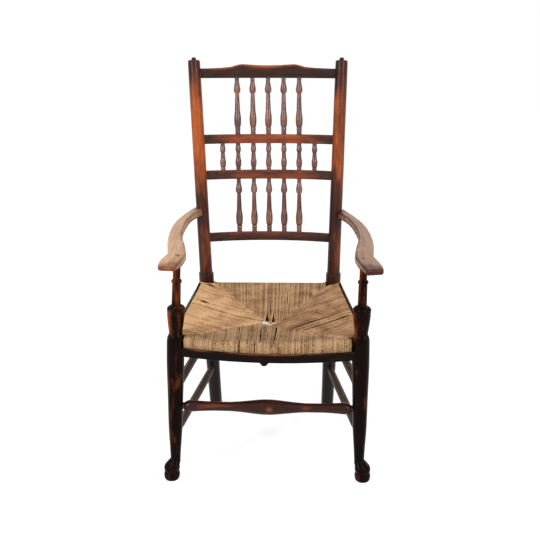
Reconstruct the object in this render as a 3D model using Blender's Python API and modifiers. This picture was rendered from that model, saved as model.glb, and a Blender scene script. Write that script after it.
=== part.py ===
"""Rush seated spindle back armchair of the Lancashire kind, rebuilt piece by piece.

Metres, +Z up. The chair faces -Y, and +X is on the viewer's right. Left and right are the viewer's.
The origin lies on the floor, under the middle of the chair's box.
"""

import math

import bmesh
import bpy
from mathutils import Vector

# Clearance between pieces that touch, and of a seat rail's shoulder from a leaning upright
GAP = 0.0003
SHOULDER_GAP = 0.0010

# Front legs: distance of a leg's axis from the middle, on the floor and per metre of height.
# The old frame leans aside: the racks are its lean to the right per metre, below the seat and above it.
FRONT_LEG_Y = -0.2116
LEG_FOOT_X = 0.2583
LEG_SPLAY = 0.0240
LEG_RACK = 0.0055
SUPPORT_RACK = 0.0240
LEG_RADIUS = 0.0238
LEG_SIDES = 12
LEG_ROOM = 0.0500

# Pad feet, turned on a second centre outward and forward of the leg's axis
FOOT_OFFSET = 0.0090
FOOT_RADIUS = 0.0222
FOOT_HEIGHT = 0.0420
SOLE_GROOVE_HEIGHT = 0.0235
ANKLE_HEIGHT = 0.0590
ANKLE_RADIUS = 0.0142

# Leg turnings above the pad, heights from the floor
LEG_SHOULDER_HEIGHT = 0.4090
WAIST_HEIGHT = 0.4340
WAIST_RADIUS = 0.0180
VASE_HEIGHT = 0.5000
VASE_RADIUS = 0.0240
VASE_TOP_HEIGHT = 0.5130
COLUMN_RADIUS = 0.0119
RING_HEIGHT = 0.5795
RING_RADIUS = 0.0143
NECK_RADIUS = 0.0100
PEG_RADIUS = 0.0075

# Back posts: places of the axis on the floor, at the seat and at the top. The old back leans to the left,
# above the seat and below it, by its racks per metre.
SEAT_DEPTH = 0.4425
BEND_HEIGHT = 0.4300
BEND_LENGTH = 0.0600
POST_FOOT_X = 0.1860
POST_BEND_X = 0.2008
POST_TOP_X = 0.2198
POST_FOOT_SETBACK = 0.0172
POST_OVER_CREST = 0.0526
POST_LEAN = math.radians(2.25)
POST_RACK = 0.0115
POST_FOOT_RACK = 0.0150
POST_FOOT_RADIUS = 0.0198
POST_LEG_RADIUS = 0.0228
POST_COLLAR_RADIUS = 0.0236
POST_COLLAR_RISE = 0.0345
POST_COLLAR_DROP = 0.0300
POST_SHAFT_RADIUS = 0.0200
POST_TOP_RADIUS = 0.0182
NIPPLE_HEIGHT = 0.0080
NIPPLE_RADIUS = 0.0072
POST_SIDES = 12

# Back rails, bowed backward, and the turned spindles between them
LOWEST_RAIL_HEIGHT = 0.5634
BACK_RAIL_HEIGHT = 0.0280
BACK_RAIL_THICKNESS = 0.0130
BACK_BOW = 0.0360
CREST_END_HEIGHT = 0.0285
CREST_HUMP_HEIGHT = 0.0410
CREST_DIP_HEIGHT = 0.0372
CREST_HUMP_X = 0.0790
CREST_STEP_X = 0.1400
RAIL_HOUSING = 0.0140
RAIL_EDGE = 0.0022
BOW_STEPS = 10

LONG_SPINDLE = 0.1685
SHORT_SPINDLE = 0.0820
SPINDLE_SPACING = 0.0471
SPINDLE_NECK = 0.0066
SPINDLE_BULB = 0.0103
SPINDLE_BELLY = 0.0111
SPINDLE_RING = 0.0088
SPINDLE_TENON_RADIUS = 0.0040
SPINDLE_TENON_LENGTH = 0.0100
SPINDLE_SIDES = 8

# Arms. They spread past the legs' pegs by the overhang. The nose is thinned from below over its length.
ARM_OVERHANG = 0.041276
ARM_THICKNESS = 0.0220
LEFT_NOSE_THICKNESS = 0.0110
RIGHT_NOSE_THICKNESS = 0.0150
NOSE_LENGTH = 0.0680
ARM_FRONT_TOP = 0.6490
ARM_RISE = 0.0560
RIGHT_ARM_DROP = 0.0050
ARM_EDGE = 0.0045
ARM_TENON_RADIUS = 0.0060
ARM_TENON_LENGTH = 0.0140

# Seat rails inside the rush, and the seat
SEAT_RAIL_HEIGHT = 0.0340
SEAT_RAIL_THICKNESS = 0.0160
SEAT_TENON_HEIGHT = 0.0140
SEAT_TENON_THICKNESS = 0.0110
SEAT_TENON_LENGTH = 0.0120
SEAT_TENON_STAGGER = 0.0085
FRONT_RAIL_CENTRE = 0.3960
SIDE_RAIL_CENTRE = 0.4040
SIDE_RAIL_BACK_CENTRE = 0.4130
BACK_RAIL_CENTRE = 0.4075
FRONT_RAIL_SETBACK = 0.0100
FRONT_BOW = 0.0360
SIDE_RAIL_INSET = 0.0070
SIDE_RAIL_OUTSET = 0.0035
RUSH_WRAP = 0.0095
SIDE_WRAP = 0.0115
RUSH_TOP_WRAP = 0.0060
RUSH_SAG = 0.0300
UNDER_SAG = 0.0150
RUSH_RIM = 0.1200
RUSH_SEAM = 0.0030
RUSH_EDGE = 0.0100
RUSH_CORNER_RISE = 0.0140
RUSH_CORNER_SHARE = 0.2500
CORNER_TRIM = 0.0600
SEAM_CENTRE_DEPTH = 0.2710
RUSH_STEPS = 8

# Slats nailed round the edge of the rush
FRONT_SLAT_HEIGHT = 0.0240
FRONT_SLAT_THICKNESS = 0.0080
FRONT_SLAT_TOP = 0.3910
DROP_WIDTH = 0.0220
DROP_DEPTH = 0.0090
DROP_OFFSET = -0.0100
SIDE_SLAT_HEIGHT = 0.0280
SIDE_SLAT_THICKNESS = 0.0045
SLAT_EDGE = 0.0010
SLAT_PROUD = 0.0005
FRONT_SLAT_PROUD = 0.0020
SLAT_BELOW_TOP = 0.0015
BACK_SLAT_BELOW_TOP = 0.0060
FRONT_SLAT_TILT = 0.0180
SLAT_ROOM_DEPTH = 0.0100

# Stretchers
TENON_RADIUS = 0.0075
TENON_LENGTH = 0.0150
SIDE_STRETCHER_RADIUS = 0.0118
LOW_STRETCHER_HEIGHT = 0.1376
HIGH_STRETCHER_HEIGHT = 0.2687
CROSS_STRETCHER_HEIGHT = 0.2170
FRONT_STRETCHER_RISE = 0.0060
BACK_STRETCHER_RADIUS = 0.0110
SWELL_RADIUS = 0.0212
FRONT_STRETCHER_RADIUS = 0.0127
FRONT_STRETCHER_END_RADIUS = 0.0162
FRONT_STRETCHER_END = 0.0200
SWELL_HALF_LENGTH = 0.1080
STRETCHER_SIDES = 10

ARM_SPREAD = LEG_FOOT_X - LEG_SPLAY * ARM_FRONT_TOP + ARM_OVERHANG
BACK_Y = FRONT_LEG_Y + SEAT_DEPTH
POST_COLLAR_TOP = BEND_HEIGHT + POST_COLLAR_RISE
LONG_STEP = BACK_RAIL_HEIGHT + LONG_SPINDLE
SHORT_STEP = BACK_RAIL_HEIGHT + SHORT_SPINDLE
CREST_LEVEL = LOWEST_RAIL_HEIGHT + 2 * LONG_STEP + SHORT_STEP
POST_TOP_HEIGHT = CREST_LEVEL + POST_OVER_CREST
SIDES = (("left", -1), ("right", 1))


def start():
    """Empties the scene and makes the two collections."""
    for item in list(bpy.data.objects):
        bpy.data.objects.remove(item, do_unlink=True)
    for name in ("spindle_back_armchair", "cutters"):
        group = bpy.data.collections.new(name)
        bpy.context.scene.collection.children.link(group)
    return bpy.data.collections["spindle_back_armchair"], bpy.data.collections["cutters"]


CHAIR, CUTTERS = start()


def finish(name, colour, roughness):
    """A painted or polished surface of one colour."""
    made = bpy.data.materials.new(name)
    made.use_nodes = True
    shader = made.node_tree.nodes["Principled BSDF"]
    shader.inputs["Base Color"].default_value = (*colour, 1.0)
    shader.inputs["Roughness"].default_value = roughness
    shader.inputs["Metallic"].default_value = 0.0
    made.diffuse_color = (*colour, 1.0)
    return made


FINISHES = {
    "post": finish("stained_ash_post", (0.080, 0.026, 0.012), 0.35),
    "rail": finish("stained_ash_rail", (0.050, 0.016, 0.009), 0.38),
    "spindle": finish("stained_ash_spindle", (0.070, 0.020, 0.011), 0.30),
    "arm": finish("worn_ash_arm", (0.330, 0.170, 0.075), 0.42),
    "leg": finish("dark_stained_leg", (0.024, 0.010, 0.008), 0.32),
    "stretcher": finish("dark_stained_stretcher", (0.028, 0.011, 0.008), 0.38),
    "slat": finish("dark_stained_slat", (0.018, 0.010, 0.008), 0.45),
    "bare": finish("unstained_seat_rail", (0.360, 0.240, 0.130), 0.70),
    "rush": finish("dry_rush", (0.420, 0.270, 0.120), 0.80),
}


def object_from(name, data, finish_name=None, group=CHAIR):
    """Puts a mesh or curve in the scene as an object."""
    made = bpy.data.objects.new(name, data)
    group.objects.link(made)
    if finish_name:
        data.materials.append(FINISHES[finish_name])
    return made


def as_mesh(source):
    """Replaces an object by its evaluated mesh, with the caps of a curve welded on."""
    bpy.context.view_layer.update()
    graph = bpy.context.evaluated_depsgraph_get()
    baked = bpy.data.meshes.new_from_object(source.evaluated_get(graph))
    bm = bmesh.new()
    bm.from_mesh(baked)
    bmesh.ops.remove_doubles(bm, verts=bm.verts, dist=0.00002)
    if source.type == "CURVE":
        flat = math.radians(0.5)
        bmesh.ops.dissolve_limit(bm, angle_limit=flat, verts=bm.verts, edges=bm.edges)
    bm.to_mesh(baked)
    bm.free()
    name = source.name
    groups = list(source.users_collection)
    parent = source.parent
    matrix = source.matrix_world.copy()
    bpy.data.objects.remove(source, do_unlink=True)
    made = bpy.data.objects.new(name, baked)
    groups[0].objects.link(made)
    made.parent = parent
    made.matrix_world = matrix
    return made


def as_cutter(item):
    """Turns an object into a hidden cutter."""
    for group in list(item.users_collection):
        group.objects.unlink(item)
    CUTTERS.objects.link(item)
    item.hide_render = True
    item.display_type = "WIRE"
    return item


def boolean(target, tool, operation="DIFFERENCE"):
    """Cuts, joins or trims a piece with another object."""
    step = target.modifiers.new(tool.name, "BOOLEAN")
    step.operation = operation
    step.solver = "EXACT"
    step.object = tool


def smooth(item, angle=40.0):
    """Shades a round piece smooth and keeps its sharp turned edges."""
    item.data.shade_smooth()
    item.data.set_sharp_from_angle(angle=math.radians(angle))


def turned(name, profile, sides, finish_name=None, group=CHAIR):
    """A turning about Z from (radius, height) points, read from the top down."""
    mesh = bpy.data.meshes.new(name)
    points = [(radius, 0.0, height) for radius, height in profile]
    mesh.from_pydata(points, [(i, i + 1) for i in range(len(points) - 1)], [])
    made = object_from(name, mesh, finish_name, group)
    screw = made.modifiers.new("turn", "SCREW")
    screw.axis = "Z"
    screw.steps = sides
    screw.render_steps = sides
    screw.use_merge_vertices = True
    screw.merge_threshold = 0.00001
    made = as_mesh(made)
    smooth(made)
    return made


def aim(item, start, end):
    """Lays an object's +Z along the line from one point to another."""
    start = Vector(start)
    way = Vector(end) - start
    item.rotation_mode = "QUATERNION"
    item.rotation_quaternion = way.to_track_quat("Z", "Y")
    item.location = start
    return item


def round_cutter(name, start, end, radius, sides=STRETCHER_SIDES):
    """A round cutter between two points. Its flats lie at the radius, outside what the hole holds."""
    length = (Vector(end) - Vector(start)).length
    radius = radius / math.cos(math.pi / sides)
    mesh = bpy.data.meshes.new(name)
    bm = bmesh.new()
    bmesh.ops.create_cone(
        bm, cap_ends=True, segments=sides, radius1=radius, radius2=radius, depth=length
    )
    bmesh.ops.translate(bm, verts=bm.verts, vec=(0, 0, length / 2))
    bm.to_mesh(mesh)
    bm.free()
    cutter = as_cutter(object_from(name, mesh))
    return aim(cutter, start, end)


def drill(target, start, end, radius, sides=STRETCHER_SIDES):
    """Drills a round hole in a piece, in the frame of the piece's parent."""
    cutter = round_cutter(f"{target.name}_hole", start, end, radius, sides)
    cutter.parent = target.parent
    boolean(target, cutter)


def cut_all(target, tools):
    """Cuts a piece with a whole set of objects at once."""
    group = bpy.data.collections.new(f"{target.name}_cutters")
    CUTTERS.children.link(group)
    for tool in tools:
        CUTTERS.objects.unlink(tool)
        group.objects.link(tool)
    step = target.modifiers.new("cuts", "BOOLEAN")
    step.operation = "DIFFERENCE"
    step.solver = "EXACT"
    step.operand_type = "COLLECTION"
    step.collection = group


def outline(name, points, thickness, finish_name=None, group=CHAIR):
    """A flat closed outline in the XY plane, given a thickness along Z."""
    curve = bpy.data.curves.new(name, "CURVE")
    curve.dimensions = "2D"
    curve.fill_mode = "BOTH"
    curve.extrude = thickness / 2
    spline = curve.splines.new("POLY")
    spline.points.add(len(points) - 1)
    for point, (x, y) in zip(spline.points, points):
        point.co = (x, y, 0.0, 1.0)
    spline.use_cyclic_u = True
    return object_from(name, curve, finish_name, group)


def soften(item, width, segments=2, angle=30.0):
    """Rounds the edges of a piece."""
    bevel = item.modifiers.new("rounded_edges", "BEVEL")
    bevel.width = width
    bevel.segments = segments
    bevel.limit_method = "ANGLE"
    bevel.angle_limit = math.radians(angle)


def box(name, size, centre, finish_name=None, group=CHAIR):
    """A box with its size in the mesh, so that its scale stays 1."""
    mesh = bpy.data.meshes.new(name)
    bm = bmesh.new()
    bmesh.ops.create_cube(bm, size=1.0)
    bmesh.ops.scale(bm, verts=bm.verts, vec=size)
    bm.to_mesh(mesh)
    bm.free()
    made = object_from(name, mesh, finish_name, group)
    made.location = centre
    return made


# Axes of the legs and posts


def leg_axis(side, height):
    """A point on a front leg's axis. The old frame leans to the right in front, more so above the seat."""
    rise = height - LEG_SHOULDER_HEIGHT
    lean = rise * (SUPPORT_RACK if rise > 0 else LEG_RACK)
    return Vector((side * (LEG_FOOT_X - LEG_SPLAY * height) + lean, FRONT_LEG_Y, height))


def post_lean(height):
    """How far the old back leans to the left at a height."""
    rise = height - BEND_HEIGHT
    return -rise * (POST_RACK if rise > 0 else POST_FOOT_RACK)


def post_axis(side, height):
    """A point on a back post's axis: straight below and above the bend, eased through it."""
    rise = height - BEND_HEIGHT
    low_x = (POST_BEND_X - POST_FOOT_X) / BEND_HEIGHT
    high_x = (POST_TOP_X - POST_BEND_X) / (POST_TOP_HEIGHT - BEND_HEIGHT)
    low_y = -POST_FOOT_SETBACK / BEND_HEIGHT
    high_y = math.tan(POST_LEAN)
    half = BEND_LENGTH / 2
    if rise <= -half:
        x, y = low_x * rise, low_y * rise
    elif rise >= half:
        x, y = high_x * rise, high_y * rise
    else:
        blend = (rise + half) ** 2 / (4 * half)
        x = low_x * rise + (high_x - low_x) * blend
        y = low_y * rise + (high_y - low_y) * blend
    return Vector((side * (POST_BEND_X + x) + post_lean(height), BACK_Y + y, height))


def post_spread(height):
    """Half the distance between the posts' axes."""
    return (post_axis(1, height).x - post_axis(-1, height).x) / 2


def follow(item, axis, side):
    """Slides each level of a turning sideways, so that its centre follows an axis."""
    for vertex in item.data.vertices:
        centre = axis(side, vertex.co.z)
        vertex.co.x += centre.x
        vertex.co.y += centre.y
    item.data.update()


# Front legs


def leg_profile(peg_top, neck_top):
    """A front leg with its pad foot, vase, ring and the peg that enters the arm."""
    vase_fall = VASE_HEIGHT - WAIST_HEIGHT
    shank = LEG_SHOULDER_HEIGHT - ANKLE_HEIGHT
    return [
        (0.0, peg_top),
        (PEG_RADIUS, peg_top),
        (PEG_RADIUS, neck_top),
        (NECK_RADIUS, neck_top),
        (NECK_RADIUS, RING_HEIGHT + 0.0060),
        (RING_RADIUS - 0.0012, RING_HEIGHT + 0.0035),
        (RING_RADIUS, RING_HEIGHT),
        (RING_RADIUS - 0.0012, RING_HEIGHT - 0.0035),
        (COLUMN_RADIUS - 0.0004, RING_HEIGHT - 0.0050),
        (COLUMN_RADIUS + 0.0004, VASE_TOP_HEIGHT),
        (VASE_RADIUS - 0.0080, VASE_TOP_HEIGHT - 0.0008),
        (VASE_RADIUS - 0.0030, VASE_TOP_HEIGHT - 0.0035),
        (VASE_RADIUS, VASE_HEIGHT + 0.0040),
        (VASE_RADIUS, VASE_HEIGHT - 0.0040),
        (VASE_RADIUS - 0.0012, VASE_HEIGHT - 0.0065),
        (VASE_RADIUS - 0.0003, VASE_HEIGHT - 0.0080),
        (VASE_RADIUS - 0.0018, WAIST_HEIGHT + 0.56 * vase_fall),
        (VASE_RADIUS - 0.0038, WAIST_HEIGHT + 0.30 * vase_fall),
        (WAIST_RADIUS, WAIST_HEIGHT + 0.0010),
        (WAIST_RADIUS, WAIST_HEIGHT - 0.0010),
        (LEG_RADIUS - 0.0034, WAIST_HEIGHT - 0.0055),
        (LEG_RADIUS - 0.0012, WAIST_HEIGHT - 0.0140),
        (LEG_RADIUS - 0.0003, LEG_SHOULDER_HEIGHT),
        (LEG_RADIUS, LEG_SHOULDER_HEIGHT - LEG_ROOM),
        (LEG_RADIUS - 0.0025, ANKLE_HEIGHT + 0.55 * shank),
        (LEG_RADIUS - 0.0046, ANKLE_HEIGHT + 0.275 * shank),
        (LEG_RADIUS - 0.0068, ANKLE_HEIGHT + 0.16 * shank),
        (ANKLE_RADIUS + 0.0008, ANKLE_HEIGHT + 0.06 * shank),
        (ANKLE_RADIUS, ANKLE_HEIGHT),
        (ANKLE_RADIUS + 0.0036, ANKLE_HEIGHT - 0.0080),
        (FOOT_RADIUS - 0.0012, FOOT_HEIGHT),
        (FOOT_RADIUS, FOOT_HEIGHT - 0.0070),
        (FOOT_RADIUS - 0.0010, SOLE_GROOVE_HEIGHT + 0.0045),
        (FOOT_RADIUS - 0.0034, SOLE_GROOVE_HEIGHT),
        (FOOT_RADIUS - 0.0008, SOLE_GROOVE_HEIGHT - 0.0035),
        (FOOT_RADIUS, 0.60 * SOLE_GROOVE_HEIGHT),
        (FOOT_RADIUS - 0.0008, 0.22 * SOLE_GROOVE_HEIGHT),
        (FOOT_RADIUS - 0.0034, 0.0),
        (0.0, 0.0),
    ]


def leg_centre(side, height):
    """The leg's axis, moved outward and forward over the pad foot."""
    end = FOOT_HEIGHT - 0.0020
    share = min(1.0, max(0.0, (ANKLE_HEIGHT - height) / (ANKLE_HEIGHT - end)))
    eased = share * share * (3 - 2 * share)
    return leg_axis(side, height) + Vector((side, -1, 0)) * (FOOT_OFFSET * eased)


def leg_room(name, side):
    """A cutter for the space a front leg takes at the seat, bent at the same height as the leg."""
    radius = LEG_RADIUS + GAP
    levels = (LEG_SHOULDER_HEIGHT + LEG_ROOM, LEG_SHOULDER_HEIGHT, LEG_SHOULDER_HEIGHT - 2 * LEG_ROOM)
    profile = [(0.0, levels[0]), *((radius, level) for level in levels), (0.0, levels[-1])]
    room = turned(name, profile, LEG_SIDES, group=CUTTERS)
    follow(room, leg_axis, side)
    return as_cutter(room)


def arm_drop(side):
    """The right arm sits a little lower than the left."""
    return RIGHT_ARM_DROP if side > 0 else 0.0


def arm_top(side, y):
    """Height of an arm's top face at a depth."""
    return ARM_FRONT_TOP - arm_drop(side) + ARM_RISE * (y - FRONT_LEG_Y)


def front_leg(name, side):
    """A front leg and arm support in one turning."""
    peg_top = arm_top(side, FRONT_LEG_Y) - 0.0010
    neck_top = arm_top(side, FRONT_LEG_Y) - ARM_THICKNESS - 0.0015
    leg = turned(f"{name}_front_leg", leg_profile(peg_top, neck_top), LEG_SIDES, "leg")
    follow(leg, leg_centre, side)
    return leg


# Back posts


def post_profile():
    """A back post from the nipple on its top to its foot."""
    shaft = POST_TOP_HEIGHT - POST_COLLAR_TOP
    return [
        (0.0, POST_TOP_HEIGHT + NIPPLE_HEIGHT),
        (NIPPLE_RADIUS - 0.0020, POST_TOP_HEIGHT + NIPPLE_HEIGHT - 0.0008),
        (NIPPLE_RADIUS, POST_TOP_HEIGHT + 0.55 * NIPPLE_HEIGHT),
        (NIPPLE_RADIUS - 0.0012, POST_TOP_HEIGHT + 0.0010),
        (POST_TOP_RADIUS - 0.0035, POST_TOP_HEIGHT),
        (POST_TOP_RADIUS - 0.0004, POST_TOP_HEIGHT - 0.0030),
        (POST_TOP_RADIUS, POST_TOP_HEIGHT - 0.0120),
        (POST_TOP_RADIUS + 0.0006, POST_COLLAR_TOP + 0.82 * shaft),
        (POST_SHAFT_RADIUS - 0.0008, POST_COLLAR_TOP + 0.55 * shaft),
        (POST_SHAFT_RADIUS, POST_COLLAR_TOP + 0.0200),
        (POST_SHAFT_RADIUS + 0.0004, POST_COLLAR_TOP + 0.0010),
        (POST_COLLAR_RADIUS - 0.0006, POST_COLLAR_TOP),
        (POST_COLLAR_RADIUS, POST_COLLAR_TOP - 0.0030),
        (POST_COLLAR_RADIUS, BEND_HEIGHT),
        (POST_COLLAR_RADIUS, BEND_HEIGHT - POST_COLLAR_DROP),
        (POST_LEG_RADIUS, BEND_HEIGHT - 3 * POST_COLLAR_DROP),
        (POST_LEG_RADIUS - 0.0004, 0.47 * BEND_HEIGHT),
        (POST_LEG_RADIUS - 0.0018, 0.21 * BEND_HEIGHT),
        (POST_FOOT_RADIUS, 0.0030),
        (POST_FOOT_RADIUS - 0.0025, 0.0),
        (0.0, 0.0),
    ]


def back_post(name, side):
    """A back post, bent at the seat."""
    post = turned(f"{name}_back_post", post_profile(), POST_SIDES, "post")
    follow(post, post_axis, side)
    return post


def post_room(name, side, clearance):
    """A cutter for the space a post takes at the seat, bent at the same heights as the post."""
    radius = POST_COLLAR_RADIUS + clearance
    levels = (
        POST_COLLAR_TOP - 0.0030,
        BEND_HEIGHT,
        BEND_HEIGHT - POST_COLLAR_DROP,
        BEND_HEIGHT - 3 * POST_COLLAR_DROP,
    )
    profile = [(0.0, levels[0]), *((radius, level) for level in levels), (0.0, levels[-1])]
    room = turned(name, profile, POST_SIDES, group=CUTTERS)
    follow(room, post_axis, side)
    return as_cutter(room)


# Back rails


BACK = bpy.data.objects.new("back_frame", None)
CHAIR.objects.link(BACK)
BACK.location = (0.0, BACK_Y, BEND_HEIGHT)
BACK.rotation_euler = (-POST_LEAN, 0.0, 0.0)


def rail_levels():
    """Lower edges of the four back rails, lowest first, as heights."""
    middle = LOWEST_RAIL_HEIGHT + LONG_STEP
    return LOWEST_RAIL_HEIGHT, middle, middle + SHORT_STEP, CREST_LEVEL


def bow_at(x, half_span, bow):
    """Depth of a bow behind its chord at a distance from the middle."""
    radius = (half_span**2 + bow**2) / (2 * bow)
    return math.sqrt(radius**2 - x**2) - (radius - bow)


def bow_band(half_span, reach, bow, thickness):
    """Plan outline of a bent rail: two concentric runs of chords, cut off at a reach from the middle.

    The chords don't depend on the reach or the thickness, so that a grown copy lies parallel to its rail.
    """
    radius = (half_span**2 + bow**2) / (2 * bow)
    limit = math.asin(half_span / radius)
    angles = [limit * (2 * i / BOW_STEPS - 1) for i in range(BOW_STEPS + 1)]
    centre = bow - radius
    points = []
    for r, way in ((radius - thickness / 2, 1), (radius + thickness / 2, -1)):
        arc = [(r * math.sin(a), centre + r * math.cos(a)) for a in angles]
        cut = reach * r / radius
        inner = [point for point in arc if abs(point[0]) < cut - 0.0005]
        (x0, y0), (x1, y1) = inner[-1], arc[arc.index(inner[-1]) + 1]
        end = y0 + (y1 - y0) * (cut - x0) / (x1 - x0)
        run = [(-cut, end), *inner, (cut, end)]
        points += run[::way]
    return points


def rail_reach(level):
    """How far from the middle a back rail runs into its posts."""
    return post_spread(level) - POST_TOP_RADIUS + RAIL_HOUSING


def back_rail(name, level, height, grow=0.0):
    """A bent back rail. Grown, it is the cutter for its own mortises."""
    thickness = BACK_RAIL_THICKNESS + 2 * grow
    points = bow_band(post_spread(level), rail_reach(level) + grow, BACK_BOW, thickness)
    rail = outline(name, points, height + 2 * grow, "rail")
    rail.parent = BACK
    rail.location = (post_lean(level), 0.0, level - BEND_HEIGHT + height / 2)
    rail = as_mesh(rail)
    if not grow:
        soften(rail, RAIL_EDGE, segments=1)
    return rail


def crest_outline():
    """Front outline of the crest rail's upper edge, two humps with a dip between them."""
    reach = POST_TOP_X
    right = [
        (CREST_HUMP_X * 0.45, CREST_DIP_HEIGHT + 0.0010),
        (CREST_HUMP_X * 0.80, CREST_HUMP_HEIGHT - 0.0010),
        (CREST_HUMP_X, CREST_HUMP_HEIGHT),
        (CREST_HUMP_X + 0.0120, CREST_HUMP_HEIGHT - 0.0020),
        (CREST_HUMP_X + 0.0330, CREST_END_HEIGHT + 0.0045),
        (CREST_STEP_X, CREST_END_HEIGHT + 0.0016),
        (reach - 2 * POST_TOP_RADIUS, CREST_END_HEIGHT),
        (reach, CREST_END_HEIGHT),
    ]
    left = [(-x, z) for x, z in reversed(right)]
    return left + [(0.0, CREST_DIP_HEIGHT)] + right + [(reach, 0.0), (-reach, 0.0)]


def crest_rail(level):
    """The crest: a bent band trimmed to the shaped outline."""
    crest = back_rail("crest_rail", level, CREST_HUMP_HEIGHT + 0.0020)
    crest.modifiers.clear()
    depth = 4 * BACK_BOW
    shape = outline("crest_shape", crest_outline(), depth)
    shape.parent = BACK
    shape.location = (post_lean(level), 0.0, level - BEND_HEIGHT)
    shape.rotation_euler = (math.pi / 2, 0.0, 0.0)
    shape = as_cutter(as_mesh(shape))
    boolean(crest, shape, "INTERSECT")
    soften(crest, RAIL_EDGE, segments=1, angle=45.0)
    return crest


# Spindles


def spindle_profile(length, bulb, waist, belly, ring, sizes):
    """A spindle between two rails, with tenons beyond both ends. Places are measured from its top."""
    neck, bulb_radius, waist_radius, belly_radius, ring_radius, foot = sizes
    return [
        (0.0, length + SPINDLE_TENON_LENGTH),
        (SPINDLE_TENON_RADIUS, length + SPINDLE_TENON_LENGTH),
        (SPINDLE_TENON_RADIUS, length),
        (neck, length),
        (neck, length - 0.30 * bulb),
        (0.5 * (neck + bulb_radius), length - 0.66 * bulb),
        (bulb_radius, length - bulb),
        (bulb_radius - 0.0014, length - bulb - 0.48 * (waist - bulb)),
        (waist_radius, length - waist),
        (0.5 * (waist_radius + belly_radius) - 0.0006, length - waist - 0.62 * (belly - waist)),
        (belly_radius, length - belly),
        (0.5 * (belly_radius + foot) + 0.0008, length - belly - 0.58 * (ring - belly)),
        (foot, length - ring + 0.0030),
        (ring_radius, length - ring),
        (foot, length - ring - 0.0030),
        (foot, 0.0),
        (SPINDLE_TENON_RADIUS, 0.0),
        (SPINDLE_TENON_RADIUS, -SPINDLE_TENON_LENGTH),
        (0.0, -SPINDLE_TENON_LENGTH),
    ]


def long_spindle():
    """Profile of a spindle of the two tall rows."""
    sizes = (SPINDLE_NECK, SPINDLE_BULB, 0.0062, SPINDLE_BELLY, SPINDLE_RING, 0.0078)
    places = [share * LONG_SPINDLE for share in (0.199, 0.291, 0.736, 0.908)]
    return spindle_profile(LONG_SPINDLE, *places, sizes)


def short_spindle():
    """Profile of a spindle of the middle row."""
    sizes = (SPINDLE_NECK + 0.0004, 0.0088, 0.0064, 0.0095, SPINDLE_RING - 0.0008, 0.0067)
    places = [share * SHORT_SPINDLE for share in (0.220, 0.366, 0.677, 0.939)]
    return spindle_profile(SHORT_SPINDLE, *places, sizes)


def spindle_depth(x, low_level, high_level):
    """Depth of a spindle's axis, between the bows of its two rails."""
    depths = [bow_at(x, post_spread(level), BACK_BOW) for level in (low_level, high_level)]
    return sum(depths) / 2


def spindle_row(row, count, profile, length, low_rail, high_rail, low_level, high_level):
    """One row of spindles with their tenon holes in the rails below and above."""
    base = low_level + BACK_RAIL_HEIGHT - BEND_HEIGHT
    way = Vector((-POST_RACK, 0.0, 1.0)).normalized()
    points = [(r, z - GAP if z >= length else z + GAP if z <= 0 else z) for r, z in profile]
    for i in range(count):
        x = (i - (count - 1) / 2) * SPINDLE_SPACING
        foot = Vector((x - POST_RACK * base, spindle_depth(x, low_level, high_level), base))
        head = foot + way * length
        spindle = turned(f"{row}_spindle_{i + 1}", points, SPINDLE_SIDES, "spindle")
        spindle.parent = BACK
        aim(spindle, foot, head)
        hole = way * (SPINDLE_TENON_LENGTH + GAP)
        mouth = way * 0.0010
        radius = SPINDLE_TENON_RADIUS + GAP
        drill(low_rail, foot + mouth, foot - hole, radius, SPINDLE_SIDES)
        drill(high_rail, head - mouth, head + hole, radius, SPINDLE_SIDES)


# Arms


# Plan of an arm from the post to the nose, in shares of the arms' spread and of the seat's depth
ARM_OUTER = [
    (0.768, 1.062),
    (0.852, 0.979),
    (0.912, 0.866),
    (0.974, 0.701),
    (1.000, 0.486),
    (0.988, 0.260),
    (0.955, 0.079),
    (0.967, 0.018),
    (0.991, -0.056),
    (1.003, -0.124),
    (1.001, -0.167),
]
ARM_FRONT = [
    (0.991, -0.185),
    (0.859, -0.203),
]
ARM_INNER = [
    (0.840, -0.194),
    (0.824, -0.136),
    (0.798, -0.050),
    (0.786, 0.018),
    (0.786, 0.068),
    (0.829, 0.226),
    (0.884, 0.382),
    (0.891, 0.542),
    (0.861, 0.728),
    (0.813, 0.859),
    (0.750, 0.942),
    (0.697, 1.017),
]
ARM_NECK = (0.820, 0.922)


def smooth_run(points, steps=2):
    """A Catmull-Rom curve through points."""
    run = []
    for i in range(len(points) - 1):
        a, b = Vector(points[max(i - 1, 0)]), Vector(points[i])
        c, d = Vector(points[i + 1]), Vector(points[min(i + 2, len(points) - 1)])
        for k in range(steps):
            t = k / steps
            run.append(0.5 * (2 * b + (c - a) * t + (2 * a - 5 * b + 4 * c - d) * t**2
                              + (3 * b - a - 3 * c + d) * t**3))
    return run + [Vector(points[-1])]


def arm_point(side, share):
    """A point of an arm's plan, carried aside with the leaning support in front and post behind."""
    front = leg_axis(0, ARM_FRONT_TOP).x
    back = post_lean(ARM_FRONT_TOP)
    return side * share.x * ARM_SPREAD + front + (back - front) * share.y, share.y * SEAT_DEPTH


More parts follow.
